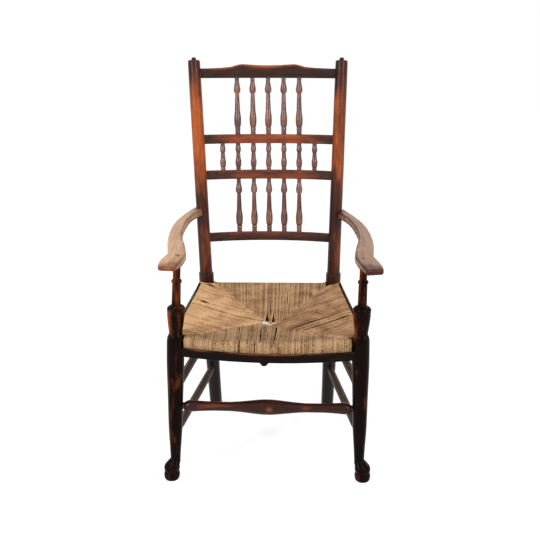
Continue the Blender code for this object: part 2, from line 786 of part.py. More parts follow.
def nose_cutter(name, side):
    """A cutter under an arm's nose. Its top face rises forward from the arm's underside."""
    thickness = RIGHT_NOSE_THICKNESS if side > 0 else LEFT_NOSE_THICKNESS
    tip_y = ARM_FRONT[-1][1] * SEAT_DEPTH
    rise = math.atan2(ARM_THICKNESS - thickness, NOSE_LENGTH)
    heel_y = FRONT_LEG_Y + tip_y + NOSE_LENGTH
    heel = Vector((side * ARM_SPREAD, heel_y, arm_top(side, heel_y) - ARM_THICKNESS))
    block = box(f"{name}_nose_cutter", (ARM_SPREAD, 2 * NOSE_LENGTH, ARM_THICKNESS), heel)
    block.rotation_euler = (math.atan(ARM_RISE) - rise, 0.0, 0.0)
    turn = block.rotation_euler.to_matrix()
    block.location = heel + turn @ Vector((0.0, -0.9 * NOSE_LENGTH, -ARM_THICKNESS / 2))
    return as_cutter(block)


def arm(name, side, leg, post):
    """An arm: a sawn plank, scribed to the post, with a tenon there and a hole for the leg's peg."""
    run = smooth_run(ARM_OUTER) + [Vector(p) for p in ARM_FRONT] + smooth_run(ARM_INNER)
    points = [arm_point(side, p) for p in run]
    made = outline(f"{name}_arm", points, ARM_THICKNESS, "arm")
    slope = math.atan(ARM_RISE)
    made.location = (0.0, FRONT_LEG_Y, arm_top(side, FRONT_LEG_Y) - ARM_THICKNESS / 2)
    made.rotation_euler = (slope, 0.0, 0.0)
    made = as_mesh(made)
    boolean(made, nose_cutter(name, side))
    soften(made, ARM_EDGE, segments=2, angle=50.0)

    post_joint = post_axis(side, arm_top(side, BACK_Y) - ARM_THICKNESS / 2)
    neck_x, neck_y = arm_point(side, Vector(ARM_NECK))
    neck = Vector((neck_x, FRONT_LEG_Y + neck_y, post_joint.z - 0.0020))
    way = (post_joint - neck).normalized()
    scribe_top = post_axis(side, post_joint.z + 0.0600)
    scribe_bottom = post_axis(side, post_joint.z - 0.0600)
    drill(made, scribe_bottom, scribe_top, POST_SHAFT_RADIUS + GAP + 0.0002, POST_SIDES)

    tip = post_joint - way * (POST_SHAFT_RADIUS - ARM_TENON_LENGTH)
    tenon = turned(
        f"{name}_arm_tenon",
        [(0.0, 1.0), (ARM_TENON_RADIUS, 1.0), (ARM_TENON_RADIUS, 0.0), (0.0, 0.0)],
        STRETCHER_SIDES,
    )
    root = post_joint - way * (POST_SHAFT_RADIUS + 0.0130)
    for vertex in tenon.data.vertices:
        vertex.co.z *= (tip - root).length
    aim(as_cutter(tenon), root, tip)
    boolean(made, tenon, "UNION")
    drill(post, root, tip + way * GAP, ARM_TENON_RADIUS + GAP)

    hole_low = leg_axis(side, arm_top(side, FRONT_LEG_Y) - ARM_THICKNESS - 0.0100)
    hole_high = leg_axis(side, arm_top(side, FRONT_LEG_Y) + 0.0100)
    drill(made, hole_low, hole_high, PEG_RADIUS + GAP)
    return made


# Stretchers


def between(name, start, end, profile, sides, finish_name):
    """A turning between two points, from (radius, distance from the start) read from the far end."""
    made = turned(name, profile, sides, finish_name)
    aim(made, start, end)
    return made


def plain_profile(length, radius, tenon_radius, tenon_length):
    """A plain round stretcher with a tenon at each end."""
    slope = 0.0040
    return [
        (0.0, length),
        (tenon_radius, length),
        (tenon_radius, length - tenon_length),
        (radius - 0.0018, length - tenon_length - 0.0008),
        (radius, length - tenon_length - slope - 0.0400),
        (radius, tenon_length + slope + 0.0400),
        (radius - 0.0018, tenon_length + 0.0008),
        (tenon_radius, tenon_length),
        (tenon_radius, 0.0),
        (0.0, 0.0),
    ]


def joined(name, start_axis, end_axis, start_radius, end_radius, radius, targets):
    """A stretcher between two uprights, its tenons in drilled mortises."""
    way = (end_axis - start_axis).normalized()
    start = start_axis + way * (start_radius - TENON_LENGTH)
    end = end_axis - way * (end_radius - TENON_LENGTH)
    length = (end - start).length
    profile = plain_profile(length, radius, TENON_RADIUS, TENON_LENGTH + GAP * 2)
    made = between(name, start, end, profile, STRETCHER_SIDES, "stretcher")
    out = TENON_LENGTH + 0.0080
    drill(targets[0], start - way * GAP, start + way * out, TENON_RADIUS + GAP)
    drill(targets[1], end + way * GAP, end - way * out, TENON_RADIUS + GAP)
    return made


def front_stretcher(legs):
    """The front stretcher with a swelling in the middle and one near each leg."""
    left, right = (
        leg_axis(side, CROSS_STRETCHER_HEIGHT - side * FRONT_STRETCHER_RISE / 2) for side in (-1, 1)
    )
    way = (right - left).normalized()
    reach = (right - left).length / 2 - (LEG_RADIUS - 0.0034) + TENON_LENGTH
    shoulder = reach - TENON_LENGTH - GAP * 2
    half = [
        (0.0, reach),
        (TENON_RADIUS, reach),
        (TENON_RADIUS, shoulder),
        (TENON_RADIUS + 0.0015, shoulder - 0.0010),
        (FRONT_STRETCHER_END_RADIUS - 0.0022, shoulder - 0.5 * FRONT_STRETCHER_END),
        (FRONT_STRETCHER_END_RADIUS, shoulder - FRONT_STRETCHER_END),
        (FRONT_STRETCHER_END_RADIUS - 0.0016, shoulder - 2.1 * FRONT_STRETCHER_END),
        (FRONT_STRETCHER_RADIUS, shoulder - 4.2 * FRONT_STRETCHER_END),
        (FRONT_STRETCHER_RADIUS, SWELL_HALF_LENGTH),
        (FRONT_STRETCHER_RADIUS + 0.0012, 0.79 * SWELL_HALF_LENGTH),
        (0.5 * (FRONT_STRETCHER_RADIUS + SWELL_RADIUS), 0.50 * SWELL_HALF_LENGTH),
        (SWELL_RADIUS - 0.0016, 0.27 * SWELL_HALF_LENGTH),
        (SWELL_RADIUS, 0.07 * SWELL_HALF_LENGTH),
    ]
    profile = half + [(r, -z) for r, z in reversed(half)]
    middle = (left + right) / 2
    made = turned("front_stretcher", profile, STRETCHER_SIDES, "stretcher")
    aim(made, middle, right)
    for leg, side in legs:
        tip = middle + way * (side * (reach + GAP))
        mouth = middle + way * (side * (shoulder - 0.0060))
        drill(leg, mouth, tip, TENON_RADIUS + GAP)
    return made


# Seat rails


def rail_box(name, start, end, height, thickness, finish_name=None):
    """A straight bar between two points, upright in section."""
    way = end - start
    made = box(name, (way.length, thickness, height), (start + end) / 2, finish_name)
    flat = math.hypot(way.x, way.y)
    made.rotation_euler = (0.0, -math.atan2(way.z, flat), math.atan2(way.y, way.x))
    return made


def straight_rail(name, start, end, shoulders, stagger, targets):
    """A straight seat rail: a body between two shoulders, with thinner tenons beyond them."""
    way = (end - start).normalized()
    low, high = start + way * shoulders[0], end - way * shoulders[1]
    body = rail_box(name, low, high, SEAT_RAIL_HEIGHT, SEAT_RAIL_THICKNESS, "bare")
    lift = Vector((0, 0, stagger))
    reach = way * SEAT_TENON_LENGTH
    sizes = (SEAT_TENON_HEIGHT, SEAT_TENON_THICKNESS)
    tenon = rail_box(f"{name}_tenon", low - reach + lift, high + reach + lift, *sizes)
    boolean(body, as_cutter(tenon), "UNION")
    grown = [size + 2 * GAP for size in sizes]
    more = way * (SEAT_TENON_LENGTH + GAP)
    mortise = rail_box(f"{name}_mortise", low - more + lift, high + more + lift, *grown)
    as_cutter(mortise)
    for target in targets:
        boolean(target, mortise)
    return body


def front_rail_points(reach, thickness, offset=0.0):
    """Plan of the bowed front rail, or of something that runs along it at an offset forward."""
    half_span = leg_axis(1, FRONT_RAIL_CENTRE).x
    points = bow_band(half_span, reach, FRONT_BOW, thickness)
    return [(x, FRONT_LEG_Y + FRONT_RAIL_SETBACK - y - offset) for x, y in points]


def front_band(name, reach, thickness, height, centre, offset=0.0, finish_name=None):
    """A bowed bar along the front of the seat."""
    made = outline(name, front_rail_points(reach, thickness, offset), height, finish_name)
    made.location = (0.0, 0.0, centre)
    return as_mesh(made)


def front_rail(legs):
    """The bowed front seat rail."""
    shoulder = leg_axis(1, FRONT_RAIL_CENTRE).x - LEG_RADIUS - 3 * SHOULDER_GAP
    name = "front_seat_rail"
    rail = front_band(
        name, shoulder, SEAT_RAIL_THICKNESS, SEAT_RAIL_HEIGHT, FRONT_RAIL_CENTRE, finish_name="bare"
    )
    low = FRONT_RAIL_CENTRE - SEAT_TENON_STAGGER
    reach = shoulder + SEAT_TENON_LENGTH
    tenon = front_band(f"{name}_tenon", reach, SEAT_TENON_THICKNESS, SEAT_TENON_HEIGHT, low)
    boolean(rail, as_cutter(tenon), "UNION")
    mortise = front_band(
        f"{name}_mortise", reach + GAP, SEAT_TENON_THICKNESS + 2 * GAP, SEAT_TENON_HEIGHT + 2 * GAP, low
    )
    as_cutter(mortise)
    for leg, _ in legs:
        boolean(leg, mortise)
    return rail


def side_rail_ends(side):
    """Ends of a side rail's line, at the leg's and the post's axes."""
    leg = leg_axis(side, SIDE_RAIL_CENTRE)
    post = post_axis(side, SIDE_RAIL_BACK_CENTRE)
    start = leg - Vector((side * SIDE_RAIL_INSET, 0, 0))
    end = post + Vector((side * SIDE_RAIL_OUTSET, 0, 0))
    return start, end


# Seat


def seat_half_width(share):
    """Half width of the rush at a share of the way from the front rail to the back one."""
    start, end = side_rail_ends(1)
    front = start.x + SEAT_RAIL_THICKNESS / 2 + SIDE_WRAP
    back = end.x + SEAT_RAIL_THICKNESS / 2 + SIDE_WRAP
    return front + (back - front) * share


def seat_point(across, share):
    """Plan point of the seat: across runs from -1 to 1, share from 0 in front to 1 behind."""
    x = across * seat_half_width(share)
    half_span = leg_axis(1, FRONT_RAIL_CENTRE).x
    wrap = SEAT_RAIL_THICKNESS / 2 + RUSH_WRAP
    limit = min(abs(x), half_span)
    front = FRONT_LEG_Y + FRONT_RAIL_SETBACK - bow_at(limit, half_span, FRONT_BOW) - wrap
    back = BACK_Y + wrap
    return x, front + (back - front) * share


def seat_zone(across, share):
    """How far a place of the seat lies out from its middle, toward a side rail and toward front or back."""
    centre_share = 1.0 - SEAM_CENTRE_DEPTH / SEAT_DEPTH
    if share <= centre_share:
        return abs(across), 1.0 - share / centre_share
    return abs(across), (share - centre_share) / (1.0 - centre_share)


def seat_sag(across, share):
    """How far the worn rush hangs at a place, as a share of its sag in the middle."""
    inset = max(0.0, 1.0 - max(seat_zone(across, share)) - RUSH_RIM) / (1.0 - RUSH_RIM)
    return inset * (2.0 - inset)


def seat_height(across, share):
    """Height of the rush's top: it hangs from the rails to the middle, lowest along the seams.

    The strands ride up in front of the posts.
    """
    half = SEAT_RAIL_HEIGHT / 2 + RUSH_TOP_WRAP
    front = FRONT_RAIL_CENTRE + half
    side = SIDE_RAIL_CENTRE + half + (SIDE_RAIL_BACK_CENTRE - SIDE_RAIL_CENTRE) * share
    back = BACK_RAIL_CENTRE + half
    beside, ahead = seat_zone(across, share)
    edge = front if share <= 1.0 - SEAM_CENTRE_DEPTH / SEAT_DEPTH else back
    out = max(beside, ahead)
    blend = min(1.0, max(0.0, (beside - ahead) * 3.0 + 0.5))
    corner = max(0.0, share - (1.0 - RUSH_CORNER_SHARE)) / RUSH_CORNER_SHARE
    top = edge + (side + RUSH_CORNER_RISE * corner - edge) * blend
    seam = max(0.0, 1.0 - abs(beside - ahead) / 0.20)
    return top - RUSH_SAG * seat_sag(across, share) - RUSH_SEAM * seam * min(1.0, 4 * (1.0 - out))


def rush_seat(rails, slats):
    """The rush, wrapped round the four rails, as one padded slab with a tunnel for each rail."""
    name = "rush_seat"
    mesh = bpy.data.meshes.new(name)
    bm = bmesh.new()
    bmesh.ops.create_grid(bm, x_segments=RUSH_STEPS, y_segments=RUSH_STEPS, size=1.0)
    lower = list(bm.faces)
    raised = bmesh.ops.extrude_face_region(bm, geom=lower)["geom"]
    top = {item for item in raised if isinstance(item, bmesh.types.BMVert)}
    under = FRONT_RAIL_CENTRE - SEAT_RAIL_HEIGHT / 2 - RUSH_TOP_WRAP
    rise = BACK_RAIL_CENTRE - FRONT_RAIL_CENTRE
    for vertex in bm.verts:
        across, ahead = (place * (3.0 - place**2) / 2 for place in vertex.co.xy)
        share = (ahead + 1.0) / 2
        x, y = seat_point(across, share)
        if vertex in top:
            z = seat_height(across, share)
        else:
            z = under + rise * share - UNDER_SAG * seat_sag(across, share)
        vertex.co = (x, y, z)
    bmesh.ops.recalc_face_normals(bm, faces=bm.faces)
    bm.to_mesh(mesh)
    bm.free()
    seat = object_from(name, mesh, "rush")
    soften(seat, RUSH_EDGE, segments=2, angle=50.0)
    cutters = rails + slats
    for label, side in SIDES:
        cutters.append(leg_room(f"{label}_leg_room", side))
        cutters.append(post_room(f"{label}_post_room", side, SHOULDER_GAP))
        behind = Vector((side * 0.67 * CORNER_TRIM, 0.53 * CORNER_TRIM, 0))
        centre = post_axis(side, BACK_RAIL_CENTRE) + behind
        trim = box(f"{label}_corner_trim", (CORNER_TRIM, CORNER_TRIM, 2 * CORNER_TRIM), centre)
        cutters.append(as_cutter(trim))
    cut_all(seat, cutters)
    return seat


def seat_tunnels():
    """The rails of the seat, grown by the clearance, as the cutters for the rush's tunnels."""
    height, thickness = SEAT_RAIL_HEIGHT + 2 * GAP, SEAT_RAIL_THICKNESS + 2 * GAP
    reach = leg_axis(1, FRONT_RAIL_CENTRE).x
    tunnels = [front_band("front_tunnel", reach, thickness, height, FRONT_RAIL_CENTRE)]
    for label, side in SIDES:
        start, end = side_rail_ends(side)
        tunnels.append(rail_box(f"{label}_tunnel", start, end, height, thickness))
    ends = [post_axis(side, BACK_RAIL_CENTRE) for side in (-1, 1)]
    tunnels.append(rail_box("back_tunnel", *ends, height, thickness))
    return [as_cutter(tunnel) for tunnel in tunnels]


# Slats


def slat_outline():
    """Front outline of the front slat: straight above, with a small turned-down drop below."""
    reach = LEG_FOOT_X
    half = DROP_WIDTH / 2
    bottom = [
        (DROP_OFFSET + half, 0.0),
        (DROP_OFFSET + 0.72 * half, -0.36 * DROP_DEPTH),
        (DROP_OFFSET + 0.52 * half, -0.86 * DROP_DEPTH),
        (DROP_OFFSET, -DROP_DEPTH),
        (DROP_OFFSET - 0.52 * half, -0.86 * DROP_DEPTH),
        (DROP_OFFSET - 0.72 * half, -0.36 * DROP_DEPTH),
        (DROP_OFFSET - half, 0.0),
    ]
    return [(-reach, FRONT_SLAT_HEIGHT), (reach, FRONT_SLAT_HEIGHT), (reach, 0.0)] + bottom + [(-reach, 0.0)]


def front_slat():
    """The front slat, bowed like the rail behind it and higher on the left, and its room in the rush."""
    total = FRONT_SLAT_HEIGHT + DROP_DEPTH
    tilt = math.atan(FRONT_SLAT_TILT)
    centre = FRONT_SLAT_TOP - total / 2
    wrap = SEAT_RAIL_THICKNESS / 2 + RUSH_WRAP
    offset = wrap + FRONT_SLAT_PROUD - FRONT_SLAT_THICKNESS / 2
    reach = leg_axis(1, FRONT_SLAT_TOP).x
    slat = front_band(
        "front_edge_slat", reach, FRONT_SLAT_THICKNESS, 1.5 * total, centre, offset, "slat"
    )
    slat.rotation_euler = (0.0, tilt, 0.0)
    shape = outline("front_slat_shape", slat_outline(), 6 * FRONT_BOW)
    shape.location = (0.0, FRONT_LEG_Y, FRONT_SLAT_TOP - FRONT_SLAT_HEIGHT)
    shape.rotation_euler = (math.pi / 2, tilt, 0.0)
    boolean(slat, as_cutter(as_mesh(shape)), "INTERSECT")
    for label, side in SIDES:
        boolean(slat, leg_room(f"front_slat_{label}_end", side))
    soften(slat, SLAT_EDGE, segments=1, angle=45.0)
    depth = FRONT_SLAT_THICKNESS + GAP + SLAT_ROOM_DEPTH
    outward = offset + (SLAT_ROOM_DEPTH - GAP) / 2
    room = front_band("front_slat_room", reach, depth, total + 2 * GAP, centre, outward)
    room.rotation_euler = (0.0, tilt, 0.0)
    return slat, as_cutter(room)


def thin_slat(name, start, end, outward, wrap, below):
    """A thin straight slat, and the room for it in the rush, open on the outer side."""
    lift = SEAT_RAIL_HEIGHT / 2 + RUSH_TOP_WRAP - below - SIDE_SLAT_HEIGHT / 2
    out = SEAT_RAIL_THICKNESS / 2 + wrap + SLAT_PROUD - SIDE_SLAT_THICKNESS / 2
    shift = outward * out + Vector((0, 0, lift))
    start, end = start + shift, end + shift
    slat = rail_box(name, start, end, SIDE_SLAT_HEIGHT, SIDE_SLAT_THICKNESS, "slat")
    more = outward * ((SLAT_ROOM_DEPTH - GAP) / 2)
    thickness = SIDE_SLAT_THICKNESS + GAP + SLAT_ROOM_DEPTH
    room = rail_box(f"{name}_room", start + more, end + more, SIDE_SLAT_HEIGHT + 2 * GAP, thickness)
    return slat, as_cutter(room)


def side_slat(name, side):
    """A side slat from the back of the leg to the outside of the post."""
    start, end = side_rail_ends(side)
    start = start + Vector((0, LEG_RADIUS - 0.0040, 0))
    outward = Vector((side, 0, 0))
    slat, room = thin_slat(f"{name}_edge_slat", start, end, outward, SIDE_WRAP, SLAT_BELOW_TOP)
    boolean(slat, leg_room(f"{name}_slat_front", side))
    boolean(slat, post_room(f"{name}_slat_end", side, GAP))
    soften(slat, SLAT_EDGE, segments=1, angle=45.0)
    return slat, room


def back_slat():
    """The slat along the back edge, between the posts."""
    ends = [post_axis(side, BACK_RAIL_CENTRE) for side in (-1, 1)]
    outward = Vector((0, 1, 0))
    slat, room = thin_slat("back_edge_slat", *ends, outward, RUSH_WRAP, BACK_SLAT_BELOW_TOP)
    for label, side in SIDES:
        boolean(slat, post_room(f"back_slat_{label}_end", side, GAP))
    soften(slat, SLAT_EDGE, segments=1, angle=45.0)
    return slat, room


# Assembly


def build():
    """Makes every piece of the chair and the joints between them."""
    legs, posts = {}, {}
    for name, side in SIDES:
        legs[side] = front_leg(name, side)
        posts[side] = back_post(name, side)
    leg_pairs = [(legs[side], side) for side in (-1, 1)]

    levels = rail_levels()
    names = ("lowest_back_rail", "middle_back_rail", "upper_back_rail")
    rails = [back_rail(name, level, BACK_RAIL_HEIGHT) for name, level in zip(names, levels)]
    rails.append(crest_rail(levels[3]))
    heights = [BACK_RAIL_HEIGHT] * 3 + [CREST_END_HEIGHT]
    for rail, level, height in zip(rails, levels, heights):
        mortise = as_cutter(back_rail(f"{rail.name}_mortise", level, height, GAP))
        for side in (-1, 1):
            boolean(posts[side], mortise)

    spindle_row("top", 5, long_spindle(), LONG_SPINDLE, rails[2], rails[3], levels[2], levels[3])
    spindle_row("middle", 7, short_spindle(), SHORT_SPINDLE, rails[1], rails[2], levels[1], levels[2])
    spindle_row("lower", 5, long_spindle(), LONG_SPINDLE, rails[0], rails[1], levels[0], levels[1])

    for name, side in SIDES:
        arm(name, side, legs[side], posts[side])
        targets = (legs[side], posts[side])
        for label, height, radii in (
            ("lower", LOW_STRETCHER_HEIGHT, (LEG_RADIUS - 0.0055, POST_LEG_RADIUS - 0.0012)),
            ("upper", HIGH_STRETCHER_HEIGHT, (LEG_RADIUS - 0.0020, POST_LEG_RADIUS - 0.0002)),
        ):
            joined(
                f"{name}_{label}_side_stretcher",
                leg_axis(side, height),
                post_axis(side, height),
                *radii,
                SIDE_STRETCHER_RADIUS,
                targets,
            )
        start, end = side_rail_ends(side)
        shoulders = (LEG_RADIUS + SHOULDER_GAP, POST_COLLAR_RADIUS + SHOULDER_GAP)
        straight_rail(f"{name}_seat_rail", start, end, shoulders, SEAT_TENON_STAGGER, targets)

    joined(
        "back_stretcher",
        post_axis(-1, CROSS_STRETCHER_HEIGHT),
        post_axis(1, CROSS_STRETCHER_HEIGHT),
        POST_LEG_RADIUS - 0.0004,
        POST_LEG_RADIUS - 0.0004,
        BACK_STRETCHER_RADIUS,
        (posts[-1], posts[1]),
    )
    front_stretcher(leg_pairs)
    front_rail(leg_pairs)
    ends = [post_axis(side, BACK_RAIL_CENTRE) for side in (-1, 1)]
    shoulders = (POST_COLLAR_RADIUS + SHOULDER_GAP, POST_COLLAR_RADIUS + SHOULDER_GAP)
    both = (posts[-1], posts[1])
    straight_rail("back_seat_rail", *ends, shoulders, -SEAT_TENON_STAGGER, both)

    rooms = [front_slat()[1], back_slat()[1]]
    rooms += [side_slat(name, side)[1] for name, side in SIDES]
    rush_seat(seat_tunnels(), rooms)


build()
bpy.context.view_layer.update()
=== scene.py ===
"""The spindle back armchair dressed: round turnings, worn wood and a wrapped rush seat.

Metres, +Z up. The chair faces -Y and +X is on the viewer's right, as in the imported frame.
"""

import math
import random

import bmesh
import bpy
import numpy as np
from bpy.props import FloatProperty, IntProperty, PointerProperty, StringProperty
from mathutils import Matrix, Vector
from mathutils.bvhtree import BVHTree


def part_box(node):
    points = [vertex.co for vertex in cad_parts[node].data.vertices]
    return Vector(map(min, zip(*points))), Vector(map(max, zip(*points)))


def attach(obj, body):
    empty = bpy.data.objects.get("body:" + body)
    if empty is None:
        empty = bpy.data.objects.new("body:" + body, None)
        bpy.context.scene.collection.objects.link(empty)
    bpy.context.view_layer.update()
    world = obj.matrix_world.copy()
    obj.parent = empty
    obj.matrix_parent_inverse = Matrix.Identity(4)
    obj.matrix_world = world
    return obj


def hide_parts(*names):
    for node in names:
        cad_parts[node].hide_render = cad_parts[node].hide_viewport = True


bl_info = {
    "name": "Spindle Back Armchair",
    "version": (1, 0, 0),
    "blender": (4, 5, 0),
    "location": "View3D > Sidebar > Armchair",
    "description": "Dresses the packed armchair with turned, sawn and woven pieces",
    "category": "Object",
}

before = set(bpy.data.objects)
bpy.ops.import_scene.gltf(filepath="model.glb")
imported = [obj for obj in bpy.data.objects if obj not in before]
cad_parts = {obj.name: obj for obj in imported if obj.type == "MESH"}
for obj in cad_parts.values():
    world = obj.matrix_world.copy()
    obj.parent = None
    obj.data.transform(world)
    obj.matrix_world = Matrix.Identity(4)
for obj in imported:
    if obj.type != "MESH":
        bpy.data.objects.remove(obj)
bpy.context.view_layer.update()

# The back frame leans about this point, and its rails and spindles lie square to it
BACK_FOOT = Vector((0.0, 0.2309, 0.4300))
BACK_LEAN = math.radians(2.25)
LEAN = Matrix.Translation(BACK_FOOT) @ Matrix.Rotation(-BACK_LEAN, 4, "X")

SIDES = (("left", -1), ("right", 1))
SPINDLES = {"top": 5, "middle": 7, "lower": 5}
STRETCHERS = (
    "left_lower_side_stretcher",
    "left_upper_side_stretcher",
    "right_lower_side_stretcher",
    "right_upper_side_stretcher",
    "back_stretcher",
    "front_stretcher",
)


def linear(hex_colour):
    """An sRGB hex colour as linear red, green, blue and alpha."""
    parts = [int(hex_colour[i : i + 2], 16) / 255 for i in (1, 3, 5)]
    return (*(p / 12.92 if p <= 0.04045 else ((p + 0.055) / 1.055) ** 2.4 for p in parts), 1.0)


def connect(tree, node, inputs):
    """Sets a node's inputs: a socket is linked, and anything else is a value."""
    for key, value in inputs.items():
        if isinstance(value, bpy.types.NodeSocket):
            tree.links.new(value, node.inputs[key])
        else:
            node.inputs[key].default_value = value


def add_node(tree, kind, settings=None, inputs=None):
    """Adds a node with its settings and its inputs."""
    node = tree.nodes.new(kind)
    for key, value in (settings or {}).items():
        setattr(node, key, value)
    connect(tree, node, inputs or {})
    return node


# Settings


class TurningSettings(bpy.types.PropertyGroup):
    """Roundness of the turned pieces."""

    leg_sides: IntProperty(
        name="Leg sides", description="Faces round a leg or post", default=48, min=16, max=96
    )
    spindle_sides: IntProperty(
        name="Spindle sides",
        description="Faces round a spindle or stretcher",
        default=28,
        min=12,
        max=64,
    )
    step: FloatProperty(
        name="Step", description="Distance between two rings", default=0.0020, unit="LENGTH"
    )


class RushSettings(bpy.types.PropertyGroup):
    """Twisted rush strands."""

    pitch: FloatProperty(
        name="Pitch", description="Distance from strand to strand", default=0.0026, unit="LENGTH"
    )
    radius: FloatProperty(
        name="Radius", description="Radius of a twisted strand", default=0.0016, unit="LENGTH"
    )


class FinishSettings(bpy.types.PropertyGroup):
    """Main colours of the finishes, sRGB hex."""

    post_dark: StringProperty(
        name="Post, dark", description="Old stain on the posts", default="#351810"
    )
    post_worn: StringProperty(
        name="Post, worn", description="Amber wear on the posts", default="#c4632a"
    )
    arm_worn: StringProperty(
        name="Arm, worn", description="Bare handled wood", default="#cda57e"
    )
    leg_dark: StringProperty(
        name="Leg, dark", description="Dark stain on the legs", default="#0c0403"
    )
    # The left field's lightest colour: dry straw with its painted light, where that field faces the
    # light
    rush_light: StringProperty(
        name="Rush, light", description="Dry straw colour", default="#e0b88c"
    )
    # The packing's colour, nearly black: painted shade for the gaps between strands
    rush_dark: StringProperty(
        name="Rush, dark", description="Packing deep inside the seat", default="#33210f"
    )


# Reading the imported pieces


def merged_copy(node):
    """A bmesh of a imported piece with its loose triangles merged."""
    bm = bmesh.new()
    bm.from_mesh(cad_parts[node].data)
    bmesh.ops.remove_doubles(bm, verts=bm.verts, dist=0.00002)
    return bm


def corners(node):
    """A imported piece's points as an array."""
    return np.array([v.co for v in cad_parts[node].data.vertices], float)


def circle_fit(points):
    """Centre and radius of the circle through most of some plan points, or None."""
    near = 0.00008
    kept = points
    for _ in range(3):
        if len(kept) < 7:
            return None
        rows = np.column_stack((2 * kept, np.ones(len(kept))))
        (cx, cy, c), *_ = np.linalg.lstsq(rows, (kept**2).sum(1), rcond=None)
        radius = math.sqrt(max(c + cx * cx + cy * cy, 0.0))
        miss = np.abs(np.hypot(kept[:, 0] - cx, kept[:, 1] - cy) - radius)
        if miss.max() < near:
            return cx, cy, radius
        kept = kept[miss < max(near, np.median(miss) * 1.5)]
    return None


def upright_rings(node):
    """Level, centre and radius of each ring of a packed upright turning, lowest first."""
    points = np.unique(np.round(corners(node), 6), axis=0)
    points = points[np.argsort(points[:, 2])]
    rings = []
    start = 0
    for i in range(1, len(points) + 1):
        if i == len(points) or points[i, 2] - points[i - 1, 2] > 0.00008:
            fitted = circle_fit(points[start:i, :2])
            if fitted:
                rings.append((points[start:i, 2].mean(), *fitted))
            start = i
    return rings


def axis_frame(node):
    """The matrix that carries +Z and the origin to a packed straight turning's axis and middle."""
    points = np.unique(np.round(corners(node), 6), axis=0)
    middle = points.mean(0)
    _, _, ways = np.linalg.svd(points - middle, full_matrices=False)
    way = Vector(ways[0])
    # Up for a spindle, back or to the right for a stretcher
    if way.dot(Vector((0.3, 0.2, 1.0))) < 0:
        way.negate()
    turn = way.to_track_quat("Z", "Y").to_matrix().to_4x4()
    return Matrix.Translation(middle) @ turn


def axis_profile(node, frame):
    """Level and radius of each ring of a packed straight turning, lowest first."""
    back = frame.inverted()
    found = {}
    for point in corners(node):
        local = back @ Vector(point)
        found[round(local.z, 4), round(math.hypot(local.x, local.y), 4)] = True
    return sorted(found)


def straight_profile(node, frame, into):
    """A straight turning's packed profile without its tenons, run on into its sockets."""
    found = axis_profile(node, frame)
    tenon = found[1][1]
    points = [(z, r) for z, r in found if r > tenon + 0.0005]
    (low, low_radius), (high, high_radius) = points[0], points[-1]
    return [(low - into, low_radius), *points, (high + into, high_radius)]


# Turned pieces

# Levels of a front leg's cup, of the column above it, and of the column's ring and neck
CUP_FOOT, CUP_TOP, COLUMN_FOOT, RING, NECK = 0.425, 0.506, 0.505, 0.600, 0.628
# Fine lines cut in the cup, with the bead left between two: level, depth and half width
LEG_LINES = ((0.5015, 0.0011, 0.0010), (0.5045, -0.0005, 0.0014), (0.4710, 0.0010, 0.0009))
PEG_INSIDE_ARM = 0.0120
NIPPLE_TIP_RADIUS = 0.0020
# Half the thickness of a leg or post, which marks across it are measured by
HALF_POST = 0.02


def smooth_profile(points, step, corner=0.75):
    """A profile through (level, radius) points, smooth but for sharp turns, sampled by a step."""
    slopes = [(b[1] - a[1]) / max(b[0] - a[0], 1e-6) for a, b in zip(points, points[1:])]
    turns = [abs(math.atan(b) - math.atan(a)) for a, b in zip(slopes, slopes[1:])]
    run = []
    for i, slope in enumerate(slopes):
        tangents = []
        for j in (i - 1, i):
            if not 0 <= j < len(turns) or turns[j] > corner:
                tangents.append(slope)
            elif slopes[j] * slopes[j + 1] <= 0:
                tangents.append(0.0)
            else:
                tangents.append(2 * slopes[j] * slopes[j + 1] / (slopes[j] + slopes[j + 1]))
        (z0, r0), (z1, r1) = points[i], points[i + 1]
        span = z1 - z0
        count = max(1, math.ceil(span / step))
        for k in range(count):
            t = k / count
            r = (
                (2 * t**3 - 3 * t**2 + 1) * r0
                + (t**3 - 2 * t**2 + t) * span * tangents[0]
                + (3 * t**2 - 2 * t**3) * r1
                + (t**3 - t**2) * span * tangents[1]
            )
            run.append((z0 + t * span, r))
    return run + [points[-1]]


def incise(run, lines):
    """Cuts fine lines into a profile: each is its level, depth and half width."""
    dense = []
    for (z0, r0), (z1, r1) in zip(run, run[1:]):
        near = any(z0 - 3 * w < level < z1 + 3 * w for level, _, w in lines)
        count = max(1, math.ceil((z1 - z0) / 0.0004)) if near else 1
        dense += [(z0 + (z1 - z0) * k / count, r0 + (r1 - r0) * k / count) for k in range(count)]
    dense.append(run[-1])
    return [
        (z, r - sum(depth * math.exp(-(((z - level) / w) ** 2)) for level, depth, w in lines))
        for z, r in dense
    ]


def spun(run, sides):
    """A closed turning about Z through (level, radius) points, lowest first."""
    bm = bmesh.new()
    points = [(run[0][0], 0.0), *run, (run[-1][0], 0.0)]
    line = [bm.verts.new((r, 0.0, z)) for z, r in points]
    edges = [bm.edges.new(pair) for pair in zip(line, line[1:])]
    bmesh.ops.spin(
        bm,
        geom=line + edges,
        axis=(0, 0, 1),
        cent=(0, 0, 0),
        steps=sides,
        angle=2 * math.pi,
        use_merge=True,
    )
    bmesh.ops.remove_doubles(bm, verts=bm.verts, dist=0.000004)
    bmesh.ops.recalc_face_normals(bm, faces=bm.faces)
    return bm


def set_marks(bm, marks):
    """Stores wear, and dirt with painted shade, on the points: marks gives the two for a place."""
    layers = [bm.verts.layers.float.new(name) for name in ("wear", "dirt_and_shade")]
    for vert in bm.verts:
        for layer, value in zip(layers, marks(vert.co)):
            vert[layer] = value


